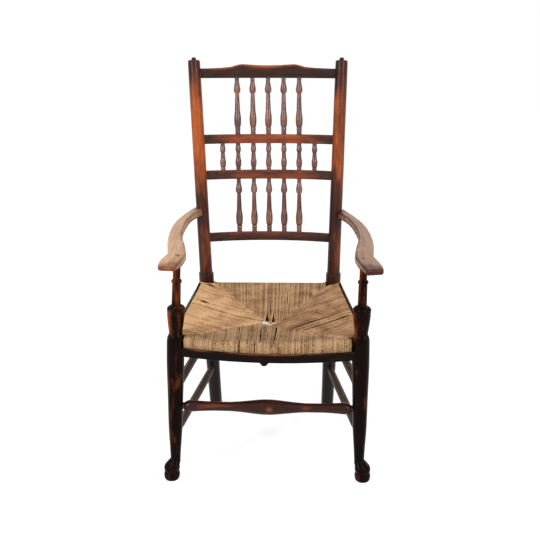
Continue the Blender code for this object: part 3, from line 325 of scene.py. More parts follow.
def finished(name, bm, material, nodes, marks=None, angle=42.0):
    """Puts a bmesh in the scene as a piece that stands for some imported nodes."""
    if marks:
        set_marks(bm, marks)
    mesh = bpy.data.meshes.new(name)
    bm.to_mesh(mesh)
    bm.free()
    mesh.shade_smooth()
    mesh.set_sharp_from_angle(angle=math.radians(angle))
    mesh.materials.append(bpy.data.materials[material])
    piece = bpy.data.objects.new(name, mesh)
    bpy.context.scene.collection.objects.link(piece)
    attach(piece, "root")
    if nodes:
        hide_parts(*nodes)


def leaning_turning(run, sides, rings):
    """A turning whose levels are slid to the centres of its packed rings."""
    bm = spun(run, sides)
    levels, xs, ys, _ = zip(*rings)
    for vert in bm.verts:
        vert.co.x += float(np.interp(vert.co.z, levels, xs))
        vert.co.y += float(np.interp(vert.co.z, levels, ys))
    return bm


def centre_line(rings):
    """A function for the x of a packed upright's centre at a level."""
    levels, xs, _, _ = zip(*rings)
    return lambda z: float(np.interp(z, levels, xs))


def bump_at(value, centre, width):
    """A soft bump of height one round a value."""
    return math.exp(-(((value - centre) / width) ** 2))


def ramp(value, low, high):
    """0 below a value, 1 above another and even between."""
    return min(1.0, max(0.0, (value - low) / (high - low)))


def leg_marks(side, centre_x):
    """Wear and dirt of a front leg: red-brown column, near-black leg, rubbed by hands and knees."""
    left = side < 0

    def marks(co):
        across = (co.x - centre_x(co.z)) / HALF_POST
        column = ramp(co.z, COLUMN_FOOT, 0.530)
        cup = ramp(co.z, CUP_FOOT, 0.440) * (1.0 - ramp(co.z, 0.498, CUP_TOP))
        wear = 0.50 * bump_at(co.z, NECK, 0.010) + (0.24 if left else 0.12) * column
        wear += 0.22 * ramp(-across, 0.0, 0.6) * column
        wear += (0.08 * left + 0.45 * ramp(-across, 0.35, 0.95)) * cup
        wear += 0.06 * left * (1.0 - column) * (1.0 - cup)
        dirt_and_shade = 0.5 * bump_at(co.z, 0.520, 0.006) + 0.55 * bump_at(co.z, 0.0, 0.012)
        dirt_and_shade += 0.35 * bump_at(co.z, RING, 0.010)
        return wear, dirt_and_shade

    return marks


def post_marks(side, centre_x):
    """Wear of a back post: amber on the upper half and on the inner side, dark below the arm; below
    the arm its right side is lighter, part wear and part painted light, and its left side darker
    with painted shade, and below the seat it is darkened with painted shade.
    """
    left = side < 0

    def marks(co):
        across = (co.x - centre_x(co.z)) / HALF_POST
        amber = ramp(co.z, 0.70, 0.80) * (1.0 - ramp(co.z, 1.00, 1.09))
        above_collar = ramp(co.z, 0.466, 0.474)
        below_arm = above_collar * (1.0 - amber)
        shaded_below_seat = 1.0 - ramp(co.z, 0.34, 0.40)
        # Across the post below the arm: lighter to the right and darker to the left, part wear and
        # part painted light and shade
        wear = (0.60 if left else 0.36) * amber + 0.18 * across * below_arm
        wear += 0.16 * bump_at(co.z, 0.545, 0.045) * above_collar
        # Darker below the collar; below the seat the darkening is painted shade under the seat
        dirt_and_shade = 0.50 * (1.0 - above_collar) + 0.45 * shaded_below_seat
        # The band below the arm is darker, with painted shade on the post's left side
        dirt_and_shade += below_arm * ((0.14 if left else 0.24) + 0.55 * ramp(-across, 0.30, 0.90))
        dirt_and_shade += 0.30 * amber * ramp(side * across, 0.55, 0.95)
        return wear, min(dirt_and_shade, 0.95)

    return marks


class CHAIR_OT_uprights(bpy.types.Operator):
    """Turns the front legs and the back posts"""

    bl_idname = "chair.uprights"
    bl_label = "Legs and posts"

    def execute(self, context):
        settings = context.scene.chair_turnings
        for name, side in SIDES:
            leg, post = f"{name}_front_leg", f"{name}_back_post"
            arm_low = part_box(f"{name}_arm")[0].z
            rings = upright_rings(leg)
            points = [(ring[0], ring[3]) for ring in rings if ring[0] < arm_low]
            points.append((arm_low + PEG_INSIDE_ARM, points[-1][1]))
            run = incise(smooth_profile(points, settings.step), LEG_LINES)
            bm = leaning_turning(run, settings.leg_sides, rings)
            marks = leg_marks(side, centre_line(rings))
            finished(
                f"{name}_leg_turning", bm, "dark_stained_ash", [leg], marks
            )

            rings = upright_rings(post)
            points = [(ring[0], ring[3]) for ring in rings]
            points.append((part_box(post)[1].z, NIPPLE_TIP_RADIUS))
            run = smooth_profile(points, settings.step)
            bm = leaning_turning(run, settings.leg_sides, rings)
            marks = post_marks(side, centre_line(rings))
            finished(
                f"{name}_post_turning", bm, "amber_stained_ash", [post], marks
            )
        return {"FINISHED"}


def crisp_shoulder(points):
    """Draws the slack between a spindle's neck and its bulb together, so the bulb ends sharply."""

    def thickness(k):
        waning = points[k + 1][1] <= points[k][1]
        return points[k][1] + (0.01 if waning else 0.0)

    upper = [k for k, (z, _) in enumerate(points) if z > 0.0]
    neck = min(upper[:-2], key=thickness)
    (low, radius), (high, bulb) = points[neck], points[neck + 1]
    gap = high - low
    drawn = [(low + 0.45 * gap, radius), (high - 0.1 * gap, bulb * 1.07)]
    return [*points[:neck], *drawn, *points[neck + 2 :]]


class CHAIR_OT_spindles(bpy.types.Operator):
    """Turns the three rows of spindles"""

    bl_idname = "chair.spindles"
    bl_label = "Spindles"

    def execute(self, context):
        settings = context.scene.chair_turnings
        rng = random.Random(11)
        nodes = [(row, i + 1) for row, count in SPINDLES.items() for i in range(count)]
        for row, i in nodes:
            node = f"{row}_spindle_{i}"
            frame = axis_frame(node)
            points = straight_profile(node, frame, into=0.0020)
            run = smooth_profile(crisp_shoulder(points), settings.step * 0.6)
            bm = spun(run, settings.spindle_sides)
            bm.transform(frame)
            back = frame.inverted()
            tone = rng.random()
            base = points[0][0]
            span = points[-1][0] - base

            def marks(co, back=back, base=base, span=span, tone=tone):
                share = ((back @ co).z - base) / span
                wear = 0.24 * tone + 0.20 * bump_at(share, 0.27, 0.16) - 0.10
                wear += 0.26 * bump_at(share, 0.76, 0.05) + 0.15 * bump_at(share, 0.06, 0.05)
                dirt_and_shade = 0.5 * bump_at(share, 0.0, 0.06) + 0.5 * bump_at(share, 1.0, 0.06)
                return wear, dirt_and_shade

            name = f"{row}_spindle_turning_{i}"
            finished(name, bm, "red_stained_ash", [node], marks)
        return {"FINISHED"}


def stretcher_marks(co):
    """Wear of the front stretcher, where heels have rubbed its swell and its left half."""
    wear = 0.75 * bump_at(co.x, 0.004, 0.009) * bump_at(co.z, 0.220, 0.007)
    wear += 0.42 * bump_at(co.x, -0.145, 0.045) * bump_at(co.z, 0.2240, 0.006)
    wear += 0.30 * bump_at(co.x, 0.105, 0.020) * bump_at(co.z, 0.2200, 0.008)
    return wear, 0.35 * ramp(abs(co.x), 0.195, 0.215)


class CHAIR_OT_stretchers(bpy.types.Operator):
    """Turns the stretchers between the legs"""

    bl_idname = "chair.stretchers"
    bl_label = "Stretchers"

    def execute(self, context):
        settings = context.scene.chair_turnings
        for node in STRETCHERS:
            frame = axis_frame(node)
            points = straight_profile(node, frame, into=0.0090)
            run = smooth_profile(points, settings.step * 1.5)
            bm = spun(run, settings.spindle_sides)
            bm.transform(frame)
            marks = stretcher_marks if node == "front_stretcher" else lambda co: (0.05, 0.15)
            wood_kind = "deep" if "side" in node else "across"
            material = f"dark_stained_ash_{wood_kind}"
            finished(f"{node}_turning", bm, material, [node], marks)
        return {"FINISHED"}


# Bent rails

BAR_THICKNESS = 0.0130
# Wear of each rail's upper edge, of its face, and of the middle of its upper edge
RAIL_WEAR = {
    "lowest_back_rail": (0.22, 0.05, 0.0),
    "middle_back_rail": (0.48, 0.30, 0.0),
    "upper_back_rail": (0.56, 0.50, 0.0),
    "crest_rail": (0.50, 0.00, 0.40),
}
# Height of the crest above its lower edge at a distance from its middle
CREST_EDGE = (
    (0.0, 0.0372),
    (0.0355, 0.0382),
    (0.0632, 0.0400),
    (0.0790, 0.0410),
    (0.0910, 0.0390),
    (0.1120, 0.0330),
    (0.1400, 0.0301),
    (0.1850, 0.0285),
    (0.2300, 0.0285),
)


def crest_height(x):
    """Height of the crest above its lower edge: a dip in the middle between two low humps."""
    xs, zs = zip(*CREST_EDGE)
    return float(np.interp(x, xs, zs))


def leaned_box(node):
    """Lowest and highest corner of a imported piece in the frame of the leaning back."""
    back = LEAN.inverted()
    points = np.array([back @ Vector(point) for point in corners(node)])
    return points.min(0), points.max(0)


def long_bar(length, thickness, height, edge, cuts, bands):
    """A bar along X with rounded long edges, cut into short stretches and bands below its top."""

    def long_edges():
        return [e for e in bm.edges if abs(e.verts[0].co.x - e.verts[1].co.x) > length * 0.5]

    bm = bmesh.new()
    bmesh.ops.create_cube(bm, size=1.0)
    bmesh.ops.scale(bm, verts=bm.verts, vec=(length, thickness, height))
    bmesh.ops.bevel(
        bm,
        geom=long_edges(),
        offset=edge,
        offset_type="OFFSET",
        affect="EDGES",
        segments=3,
        profile=0.5,
        material=-1,
    )
    bmesh.ops.subdivide_edges(bm, edges=long_edges(), cuts=cuts, use_grid_fill=True)
    for band in bands:
        slice_across(bm, (0, 0, height / 2 - band), (0, 0, 1))
    return bm


def slice_across(bm, place, normal):
    """Cuts new edges into a mesh where a plane crosses it."""
    geom = bm.verts[:] + bm.edges[:] + bm.faces[:]
    bmesh.ops.bisect_plane(bm, geom=geom, dist=0.00001, plane_co=place, plane_no=normal)


def bend(bm, reach, fall, centre, crown, way):
    """Bends a bar along X until its middle stands past its ends by a fall, towards +Y or -Y."""
    radius = (reach**2 + fall**2) / (2 * fall)
    for vert in bm.verts:
        around = math.asin(vert.co.x / radius)
        out = radius + way * vert.co.y
        vert.co.x = centre + out * math.sin(around)
        vert.co.y = crown - way * (radius - out * math.cos(around))


def rail_marks(centre, foot, top_at, reach, edge_wear, face_wear, dip_wear):
    """Wear of a back rail: red-brown over its middle, dusty and dark at its ends."""
    back = LEAN.inverted()

    def marks(co):
        local = back @ co
        x = local.x - centre
        below = foot + top_at(abs(x)) - local.z
        upper = 1.0 - ramp(below, 0.0030, 0.0080)
        middle = 1.0 - ramp(abs(x), 0.45 * reach, 0.90 * reach)
        wear = (face_wear + (edge_wear - face_wear) * upper) * middle
        wear += dip_wear * bump_at(x, 0.0, 0.040) * (1.0 - ramp(below, 0.006, 0.016))
        dark_face = 0.50 * (1.0 - upper) * (face_wear < 0.03)
        return wear, 0.22 * (1.0 - middle) + dark_face

    return marks


class CHAIR_OT_back_rails(bpy.types.Operator):
    """Bends the three back rails and the crest"""

    bl_idname = "chair.back_rails"
    bl_label = "Back rails and crest"

    def execute(self, context):
        for node, wear in RAIL_WEAR.items():
            low, high = leaned_box(node)
            centre = (low[0] + high[0]) / 2
            reach = (high[0] - low[0]) / 2
            crown = high[1] - BAR_THICKNESS / 2
            fall = crown - (low[1] + BAR_THICKNESS / 2)
            height = high[2] - low[2]
            top_at = crest_height if node == "crest_rail" else lambda x, height=height: height
            bm = long_bar(
                2 * reach, BAR_THICKNESS, height, edge=0.0028, cuts=95, bands=(0.0050, 0.0090)
            )
            for vert in bm.verts:
                if vert.co.z > 0:
                    vert.co.z += top_at(abs(vert.co.x)) - height
                vert.co.z += low[2] + height / 2
            bend(bm, reach, fall, centre, crown, 1)
            bm.transform(LEAN)
            marks = rail_marks(centre, low[2], top_at, reach, *wear)
            finished(f"{node}_bent", bm, "rubbed_stained_ash", [node], marks)
        return {"FINISHED"}


# Arms

ARM_THICKNESS = 0.0220
ARM_SLOPE = 0.056
NOSE_LENGTH = 0.0680
NOSE_THICKNESS = {"left": 0.0110, "right": 0.0150}
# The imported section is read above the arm's middle, clear of the nose's thinned underside
SECTION_ABOVE_MIDDLE = 0.0055
ARM_ROUNDING = 0.0070
ARM_STEP = 0.0045
POST_AT_ARM_Y = 0.24
# Section points nearer to the post's axis are its hole's
POST_HOLE_RADIUS = 0.0212


def section_loop(node, point, normal):
    """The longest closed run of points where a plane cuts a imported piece."""
    bm = merged_copy(node)
    cut = bmesh.ops.bisect_plane(
        bm,
        geom=bm.verts[:] + bm.edges[:] + bm.faces[:],
        dist=0.00001,
        plane_co=point,
        plane_no=normal,
        clear_inner=True,
        clear_outer=True,
    )
    edges = dict.fromkeys(e for e in cut["geom_cut"] if isinstance(e, bmesh.types.BMEdge))
    loops = []
    while edges:
        edge = next(iter(edges))
        del edges[edge]
        run = [edge.verts[0], edge.verts[1]]
        while run[-1] != run[0]:
            step = next((e for e in run[-1].link_edges if e in edges), None)
            if step is None:
                break
            del edges[step]
            run.append(step.other_vert(run[-1]))
        loops.append([v.co.copy() for v in run[:-1]])
    bm.free()
    loop = max(loops, key=len)
    first = min(range(len(loop)), key=lambda k: (round(loop[k].y, 5), loop[k].x))
    loop = loop[first:] + loop[:first]
    return loop if loop[1].x > loop[-1].x else [loop[0], *reversed(loop[1:])]


def arm_marks(side, middle, inner_at, front, back):
    """Handled wood: bare on top, brown along the inner arris, stained at the nose and the post,
    with painted shade on the underside and on the inner face near the nose.
    """
    left = side < 0

    def marks(co):
        height = co.z - middle(co.y)
        top = ramp(height, -0.001, 0.005)
        inner = ramp(inner_at(co.y) - abs(co.x), -0.004, 0.004)
        hand = 1.0 - ramp(co.y, front + 0.022, front + 0.110)
        # Near the nose the inner face is kept dark: painted shade
        bare = max(top, (0.50 - 0.45 * hand) * inner * ramp(height, -0.010, -0.004))
        nose = 1.0 - ramp(co.y, front + 0.006, front + 0.050)
        heel = ramp(co.y, back - 0.060, back - 0.010)
        arris = inner * bump_at(height, 0.0085, 0.0030)
        stained = 0.25 * hand + 0.70 * arris + (0.62 if left else 0.95) * nose + 0.6 * heel
        # The underside is darkened with painted shade
        shaded_underside = 1.0 - ramp(height, -0.010, -0.003)
        dirt_and_shade = 0.70 * shaded_underside + 0.45 * heel + (0.15 if left else 0.34) * nose
        return max(0.9 * bare * (1.0 - stained), 0.0), min(dirt_and_shade, 0.85)

    return marks


def rounded_plank(loop, thickness, radius, post, rings=6):
    """A plank over a closed plan loop, its long edges rounded by a radius that ends at its post."""
    scales = [ramp((p - post).length, 0.024, 0.045) for p in loop]
    count = len(loop)
    turn = sum(loop[k - 1].x * loop[k].y - loop[k].x * loop[k - 1].y for k in range(count))
    inward = []
    for k in range(count):
        along = (loop[(k + 1) % count] - loop[k - 1]).normalized()
        inward.append(Vector((-along.y, along.x)) * math.copysign(1.0, turn))
    turns = np.linspace(0, math.pi / 2, rings)
    levels = [(radius * (1 - math.sin(a)), radius * (1 - math.cos(a))) for a in turns]
    levels += [(inset, thickness - level) for inset, level in reversed(levels)]
    bm = bmesh.new()
    lines = []
    for inset, level in levels:
        places = [p + n * inset * s for p, n, s in zip(loop, inward, scales)]
        line = [bm.verts.new((*place, level)) for place in places]
        lines.append([bm.edges.new((line[k - 1], line[k])) for k in range(count)])
    for low, high in zip(lines, lines[1:]):
        bmesh.ops.bridge_loops(bm, edges=low + high)
    bmesh.ops.triangle_fill(bm, edges=lines[0], use_beauty=True)
    bmesh.ops.triangle_fill(bm, edges=lines[-1], use_beauty=True)
    bmesh.ops.recalc_face_normals(bm, faces=bm.faces)
    return bm


def smooth_loop(points, spacing):
    """A closed Catmull-Rom run through plan points, sampled by a spacing."""
    run = []
    count = len(points)
    for k in range(count):
        a, b, c, d = (points[(k + n) % count] for n in (-1, 0, 1, 2))
        steps = max(1, round((c - b).length / spacing))
        for n in range(steps):
            t = n / steps
            curve = (2 * a - 5 * b + 4 * c - d) * t**2 + (3 * b - a - 3 * c + d) * t**3
            run.append(0.5 * (2 * b + (c - a) * t + curve))
    return run


def fuller_waist(outline, side):
    """Fills the waist of an arm a little on both edges, and the left nose on its outer edge."""
    left = side < 0
    rows = [(p.y, p.x) for p in outline]
    for p in outline:
        near = [x for y, x in rows if abs(y - p.y) < 0.015]
        if (p.x - (min(near) + max(near)) / 2) * side < 0:
            p.x -= side * (0.0068 if left else 0.0045) * bump_at(p.y, -0.01, 0.15)
        elif left:
            p.x -= 0.0015 * bump_at(p.y, 0.06, 0.11) + 0.0028 * bump_at(p.y, -0.235, 0.035)
        else:
            p.x += 0.0034 * bump_at(p.y, -0.04, 0.15)


def middle_line(points):
    """A function for the distance of an arm's middle from the chair's at a depth."""
    rows = sorted((p.y, abs(p.x)) for p in points)
    depths = np.linspace(rows[0][0], rows[-1][0], 40)
    spans = [[x for y, x in rows if abs(y - depth) < 0.02] or [0.25] for depth in depths]
    middles = [(min(span) + max(span)) / 2 for span in spans]
    return lambda y: float(np.interp(y, depths, middles))


def peg_end(side, centre_x, centre_y, level):
    """The oval end of a leg's peg, just under an arm's top."""
    peg = spun([(0.0, 0.0062), (0.0113, 0.0062), (0.0116, 0.0059)], 32)
    bmesh.ops.scale(peg, verts=peg.verts, vec=(0.90 if side < 0 else 0.62, 1.20, 1.0))
    place = (centre_x - side * 0.0010, centre_y + 0.0030, level - 0.0102)
    bmesh.ops.translate(peg, verts=peg.verts, vec=place)
    return peg


class CHAIR_OT_arms(bpy.types.Operator):
    """Saws the two arms, with the ends of the legs' pegs in their tops"""

    bl_idname = "chair.arms"
    bl_label = "Arms"

    def execute(self, context):
        for name, side in SIDES:
            node = f"{name}_arm"
            leg_level, leg_x, leg_y, _ = upright_rings(f"{name}_front_leg")[-1]
            top_at_leg = leg_level + 0.0010

            def middle(y, top_at_leg=top_at_leg, leg_y=leg_y):
                return top_at_leg - ARM_THICKNESS / 2 + ARM_SLOPE * (y - leg_y)

            levels, xs, ys, _ = zip(*upright_rings(f"{name}_back_post"))
            post = [float(np.interp(middle(POST_AT_ARM_Y), levels, line)) for line in (xs, ys)]
            cut_at = (0, 0, middle(0.0) + SECTION_ABOVE_MIDDLE)
            loop = section_loop(node, cut_at, (0, -ARM_SLOPE, 1))
            away = [math.hypot(p.x - post[0], p.y - post[1]) for p in loop]
            kept = [p for p, gap in zip(loop, away) if gap > POST_HOLE_RADIUS]
            outline = smooth_loop([Vector((p.x, p.y)) for p in kept], ARM_STEP)
            fuller_waist(outline, side)
            bm = rounded_plank(outline, ARM_THICKNESS, ARM_ROUNDING, Vector(post))
            front = min(p.y for p in kept)
            back = max(p.y for p in kept)
            sides = [p.x for p in kept]
            for y in np.arange(front + 0.003, back, ARM_STEP):
                slice_across(bm, (0, y, 0), (0, 1, 0))
            for x in np.arange(min(sides) + 0.003, max(sides), 0.0060):
                slice_across(bm, (x, 0, 0), (1, 0, 0))
            for level in (0.0080, 0.0110, 0.0140):
                slice_across(bm, (0, 0, level), (0, 0, 1))

            # The underside rises towards the nose, and the whole arm towards the post
            for vert in bm.verts:
                share = 1.0 - ramp(vert.co.y, front, front + NOSE_LENGTH)
                height = ARM_THICKNESS + (NOSE_THICKNESS[name] - ARM_THICKNESS) * share
                below = (ARM_THICKNESS - vert.co.z) * height / ARM_THICKNESS
                vert.co.z = middle(vert.co.y) + ARM_THICKNESS / 2 - below
            material = "handled_ash" if side < 0 else "handled_ash_brown"
            marks = arm_marks(side, middle, middle_line(kept), front, back)
            finished(
                f"{name}_arm_sawn", bm, material, [node], marks, angle=75.0
            )
            peg = peg_end(side, leg_x, leg_y, top_at_leg)
            name = f"{name}_peg_end"
            finished(name, peg, "peg_end_grain", [], lambda co: (0.3, 0.1))
        return {"FINISHED"}


# Slats

# Distances below the front slat's top between which its rubbed rim ends
SLAT_RIM = (0.0018, 0.0030)
# The small drop at the middle of its lower edge
DROP_X, DROP_DEPTH = -0.0100, 0.0090


def top_edge(node, axis):
    """A function for the height of a packed slat's top along an axis."""
    points = corners(node)
    low, high = points[:, axis].min(), points[:, axis].max()
    ends = [points[abs(points[:, axis] - at) < 0.012][:, 2].max() for at in (low, high)]
    return lambda value: float(np.interp(value, (low, high), ends))


class CHAIR_OT_slats(bpy.types.Operator):
    """Bends the front slat and finishes the other slats and the seat rails"""

    bl_idname = "chair.slats"
    bl_label = "Slats"

    def execute(self, context):
        low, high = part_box("front_edge_slat")
        top = top_edge("front_edge_slat", 0)
        thickness, height = 0.0080, 0.0240
        reach = min(-low.x, high.x)
        tilt = (top(-0.2) - top(0.2)) / 0.4
        fall = (high.y - low.y) - thickness
        bm = long_bar(2 * reach, thickness, height, edge=0.0014, cuts=119, bands=SLAT_RIM)
        for vert in bm.verts:
            x = vert.co.x
            if vert.co.z < 0:
                vert.co.z -= DROP_DEPTH * ramp(-abs(x - DROP_X), -0.0110, -0.0055)
            vert.co.z += top(0.0) - height / 2 - tilt * x
        bend(bm, reach, fall, 0.0, low.y + thickness / 2, -1)
        bmesh.ops.recalc_face_normals(bm, faces=bm.faces)

        def marks(co):
            rim = ramp(co.z - top(0.0) + tilt * co.x, -SLAT_RIM[1], -SLAT_RIM[0])
            rubbed = 0.16 + 0.42 * bump_at(co.x, 0.03, 0.09) + 0.28 * bump_at(co.x, -0.19, 0.03)
            return rim * rubbed, 0.75 * (1 - rim)

        slat = "front_edge_slat"
        finished("front_slat_bent", bm, "black_stained_ash", [slat], marks)
        packed = {
            "left_edge_slat": "grey_stained_ash",
            "right_edge_slat": "dark_stained_ash_deep",
            "back_edge_slat": "black_stained_ash",
            **{f"{name}_seat_rail": "bare_ash" for name in ("left", "right", "back", "front")},
        }
        for node, material in packed.items():
            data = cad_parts[node].data
            data.materials.clear()
            data.materials.append(bpy.data.materials[material])
        return {"FINISHED"}


# Rush

CENTRE = (-0.005, -0.045)
SIDE_RAKE = math.tan(math.radians(4.9))
# Levels of the seat's edge, clear above and below the seat, of its underside, and of the tuck
EDGE_LEVEL, ABOVE_SEAT, BELOW_SEAT = 0.4060, 0.60, 0.30
UNDERSIDE, TUCK_LEVEL = 0.375, 0.3830
# A strand's fold over the edge starts this far in
FOLD = 0.0095
# Past this place on a side, strands end at the back post
LAST_WRAPPED = 0.2085


def metres(rows):
    """Rows of millimetres as rows of metres."""
    return [tuple(value / 1000 for value in row) for row in rows]


# Plan points of the four seams between the fields, from the corners in
REAR_LEFT = metres(
    [
        (-195, 248), (-174, 224), (-150, 190), (-118, 150), (-98, 112), (-74, 81), (-52, 37),
        (-42, 11), (-19, -19),
    ]
)
REAR_RIGHT = metres(
    [(190, 206), (172, 189), (125, 139), (116, 109), (62, 33), (33, -40), (9, -47)]
)
FRONT_LEFT = metres(
    [
        (-211, -193), (-202, -190), (-151, -137), (-104, -99), (-82, -81), (-57, -68),
        (-19, -40),
    ]
)
FRONT_RIGHT = metres(
    [(225, -212), (190, -203), (134, -153), (88, -110), (49, -75), (18, -48)]
)
SEAMS = {
    "left": [*REAR_LEFT, *FRONT_LEFT],
    "right": [*REAR_RIGHT, *FRONT_RIGHT],
    "front": [*FRONT_LEFT, CENTRE, *FRONT_RIGHT],
    "back": [*REAR_LEFT, CENTRE, *REAR_RIGHT],
}
# Each field: its edge line's origin, run and way in, its span along that line,
# and how its strands rake, in degrees at two places of the line
FIELDS = {
    "left": (
        (-0.2540, 0.0), (SIDE_RAKE, 1.0), (1.0, -SIDE_RAKE), (-0.222, 0.246),
        ((-0.20, 3.0), (0.06, 12.0)),
    ),
    "right": (
        (0.2540, 0.0), (-SIDE_RAKE, 1.0), (-1.0, -SIDE_RAKE), (-0.232, 0.246),
        ((-0.20, 19.0), (0.06, 15.0)),
    ),
    "front": (
        (0.0, -0.2600), (1.0, 0.0), (0.0, 1.0), (-0.2245, 0.2245),
        ((-0.02, 0.0), (0.02, -2.5)),
    ),
    "back": (
        (0.0, 0.2480), (1.0, 0.0), (0.0, -1.0), (-0.180, 0.180),
        ((-0.1, -3.0), (0.1, 3.0)),
    ),
}
# Gaps between strands, in millimetres: plan points along each with half the gap's width
SPLITS = {
    "left": [
        [(-200, 195, 1), (-192, 192, 8), (-182, 189, 8), (-168, 185, 1)],
        [(-208, 61, 2), (-200, 59, 9), (-190, 57, 8), (-180, 54, 2)],
        [(-170, 51, 1), (-160, 49, 3), (-150, 46, 1.4)],
        [(-140, 44, 1.4), (-128, 41, 3.4), (-116, 37, 1.4), (-104, 33, 2.6)],
        [(-94, 31, 1), (-80, 26, 3.6), (-66, 22, 4), (-56, 18, 1.2)],
    ],
    "back": [
        [(3, 235, 0.4), (5, 140, 1), (4, 43, 1.4), (3, 10, 1)],
        [(-1, 28, 0.4), (-5, -8, 3.6), (-8, -30, 6)],
        [(7, 30, 0.4), (14, -8, 2.8), (18, -32, 5)],
        [(60, 220, 0.3), (55, 120, 1.4), (50, 80, 0.3)],
    ],
    "right": [
        [(215, -44, 1.6), (180, -50, 3.4), (131, -60, 5.6), (75, -86, 3.6)],
        [(228, -63, 6), (200, -74, 6), (164, -88, 4.4), (100, -115, 3)],
        [(170, -66, 1), (135, -70, 3), (105, -84, 2)],
    ],
    "front": [
        [(-84, -88, 1.8), (-82, -128, 1), (-80, -180, 0.3)],
        [(-58, -100, 0.8), (-55, -160, 0.8), (-50, -245, 1.6)],
        [(-21, -72, 1.2), (-20, -120, 2.6), (-19, -170, 1.8), (-19, -235, 1.4)],
        [(23, -64, 2.6), (19, -120, 2.4), (15, -170, 2), (10, -240, 1.4)],
        [(-76, -200, 0.3), (-76, -235, 1.8), (-76, -250, 2.2)],
        [(-34, -205, 0.3), (-34, -235, 1.6), (-34, -250, 1.8)],
        [(-3, -90, 0.6), (-3, -130, 1.4), (-3, -160, 0.4)],
    ],
}


class Field:
    """One of the four fields of strands, with its seam, its slat and its gaps."""

    step = 0.0030
    most_steps = 140

    def __init__(self, name):
        origin, along, inward, self.span, self.rakes = FIELDS[name]
        self.name = name
        self.origin = Vector(origin)
        self.along = Vector(along).normalized()
        self.inward = Vector(inward).normalized()
        self.side = name in ("left", "right")
        rows = sorted((y, x) if self.side else (x, y) for x, y in SEAMS[name])
        self.seam_at, self.seam_to = zip(*rows)
        self.slat_top = top_edge(f"{name}_edge_slat", 1 if self.side else 0)
        self.splits = [Split(self, metres(line)) for line in SPLITS[name]]

    def start(self, c):
        """Plan point outside the edge, from which the strand is laid."""
        return self.origin + self.along * c - self.inward * 0.10

    def heading(self, c, run):
        """Plan direction of a strand at a distance from its edge: it bends more as it goes."""
        at, angles = zip(*self.rakes)
        angle = math.radians(float(np.interp(c, at, angles)) * (1.0 + 1.2 * run))
        return self.inward * math.cos(angle) - self.along * math.sin(angle)

    def trace(self, edge, c):
        """Plan points of a strand from its edge to the seam, a step apart."""
        places = [edge + self.heading(c, 0.0) * 0.0008]
        while len(places) < self.most_steps:
            ahead = places[-1] + self.heading(c, len(places) * self.step) * self.step
            if self.beyond(ahead):
                break
            places.append(ahead)
        return places

    def parted(self, place, c):
        """A strand's plan point, moved along the edge line by the gaps near it."""
        at = (place - self.origin).dot(self.inward)
        return place + self.along * sum(split.push(c, at) for split in self.splits)

    def beyond(self, place):
        """True when a plan point has crossed the seam."""
        if self.side:
            limit = float(np.interp(place.y, self.seam_at, self.seam_to))
            return place.x > limit if self.name == "left" else place.x < limit
        limit = float(np.interp(place.x, self.seam_at, self.seam_to))
        return place.y > limit if self.name == "front" else place.y < limit


def tree_of(node):
    """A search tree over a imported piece."""
    bm = merged_copy(node)
    tree = BVHTree.FromBMesh(bm)
    bm.free()
    return tree


class Split:
    """A gap between two strands: the strand line it follows, and its half width along it."""

    reach = 0.020
    taper = 0.004

    def __init__(self, field, line):
        best = None
        places = [Vector((x, y)) for x, y, _ in line]
        for k in range(int((field.span[1] - field.span[0]) / 0.002)):
            c = field.span[0] + 0.002 * k
            strand = field.trace(field.origin + field.along * c, c)
            near = [min(range(len(strand)), key=lambda n: (strand[n] - p).length) for p in places]
            miss = sum((strand[n] - p).length for n, p in zip(near, places))
            if best is None or miss < best[0]:
                best = (miss, c, near)
        self.c = best[1]
        rows = sorted((n * field.step, width) for n, (_, _, width) in zip(best[2], line))
        start, end = rows[0][0] - self.taper, rows[-1][0] + self.taper
        self.runs, self.widths = zip((start, 0.0), *rows, (end, 0.0))

    def push(self, c, run):
        """How far the gap moves a strand along the edge line, at a distance from that line."""
        away = c - self.c
        share = max(0.0, 1.0 - abs(away) / self.reach)
        return math.copysign(float(np.interp(run, self.runs, self.widths)) * share, away)


def level_at(rush, place):
    """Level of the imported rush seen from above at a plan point, or None."""
    found = rush.ray_cast(Vector((*place, ABOVE_SEAT)), Vector((0, 0, -1)))[0]
    return found.z if found else None


def over_the_top(rush, field, c, places, held, radius, lift):
    """A strand's stretch on the seat: tucked under at the seam, then over the top to the edge."""
    tip = places[-1]
    over = level_at(rush, tip)
    if over is None:
        return None
    first = 0 if held else int(FOLD / field.step) + 1
    kept = places[first:-1:2] or places[-1:]
    path = [
        (tip + field.heading(c, len(places) * field.step) * 0.0030, over - 0.0120),
        (tip, over - radius - 0.0006),
    ]
    for place in reversed(kept):
        level = level_at(rush, place)
        if level is not None and (place - tip).length > 0.0020:
            path.append((field.parted(place, c), level - radius + 0.0006 + lift))
    return path


def round_the_edge(field, c, edge, crown, radius):
    """A strand's stretch that folds over the edge and is tucked behind the slat."""
    slat = field.slat_top(edge.y if field.side else edge.x)
    outer = 0.0044 if field.name != "front" else 0.0
    if crown < slat:
        outer = 0.0062
    path = []
    for angle in (40, 75):
        a = math.radians(angle)
        away = FOLD - (FOLD - outer - radius + 0.0004) * math.sin(a)
        drop = min(FOLD - radius, max(0.0, crown - slat)) * (1 - math.cos(a))
        path.append((field.parted(edge + field.inward * away, c), crown - drop))
    tuck = edge + field.inward * max(0.0078, outer + radius)
    if field.name == "front":
        front = edge + field.inward * (radius - 0.0004)
        path.append((field.parted(front, c), slat + 0.0040))
        path.append((tuck, slat - 0.0040))
    else:
        path.append((tuck, min(slat, crown) - 0.0060))
    path.append((tuck, TUCK_LEVEL))
    return path


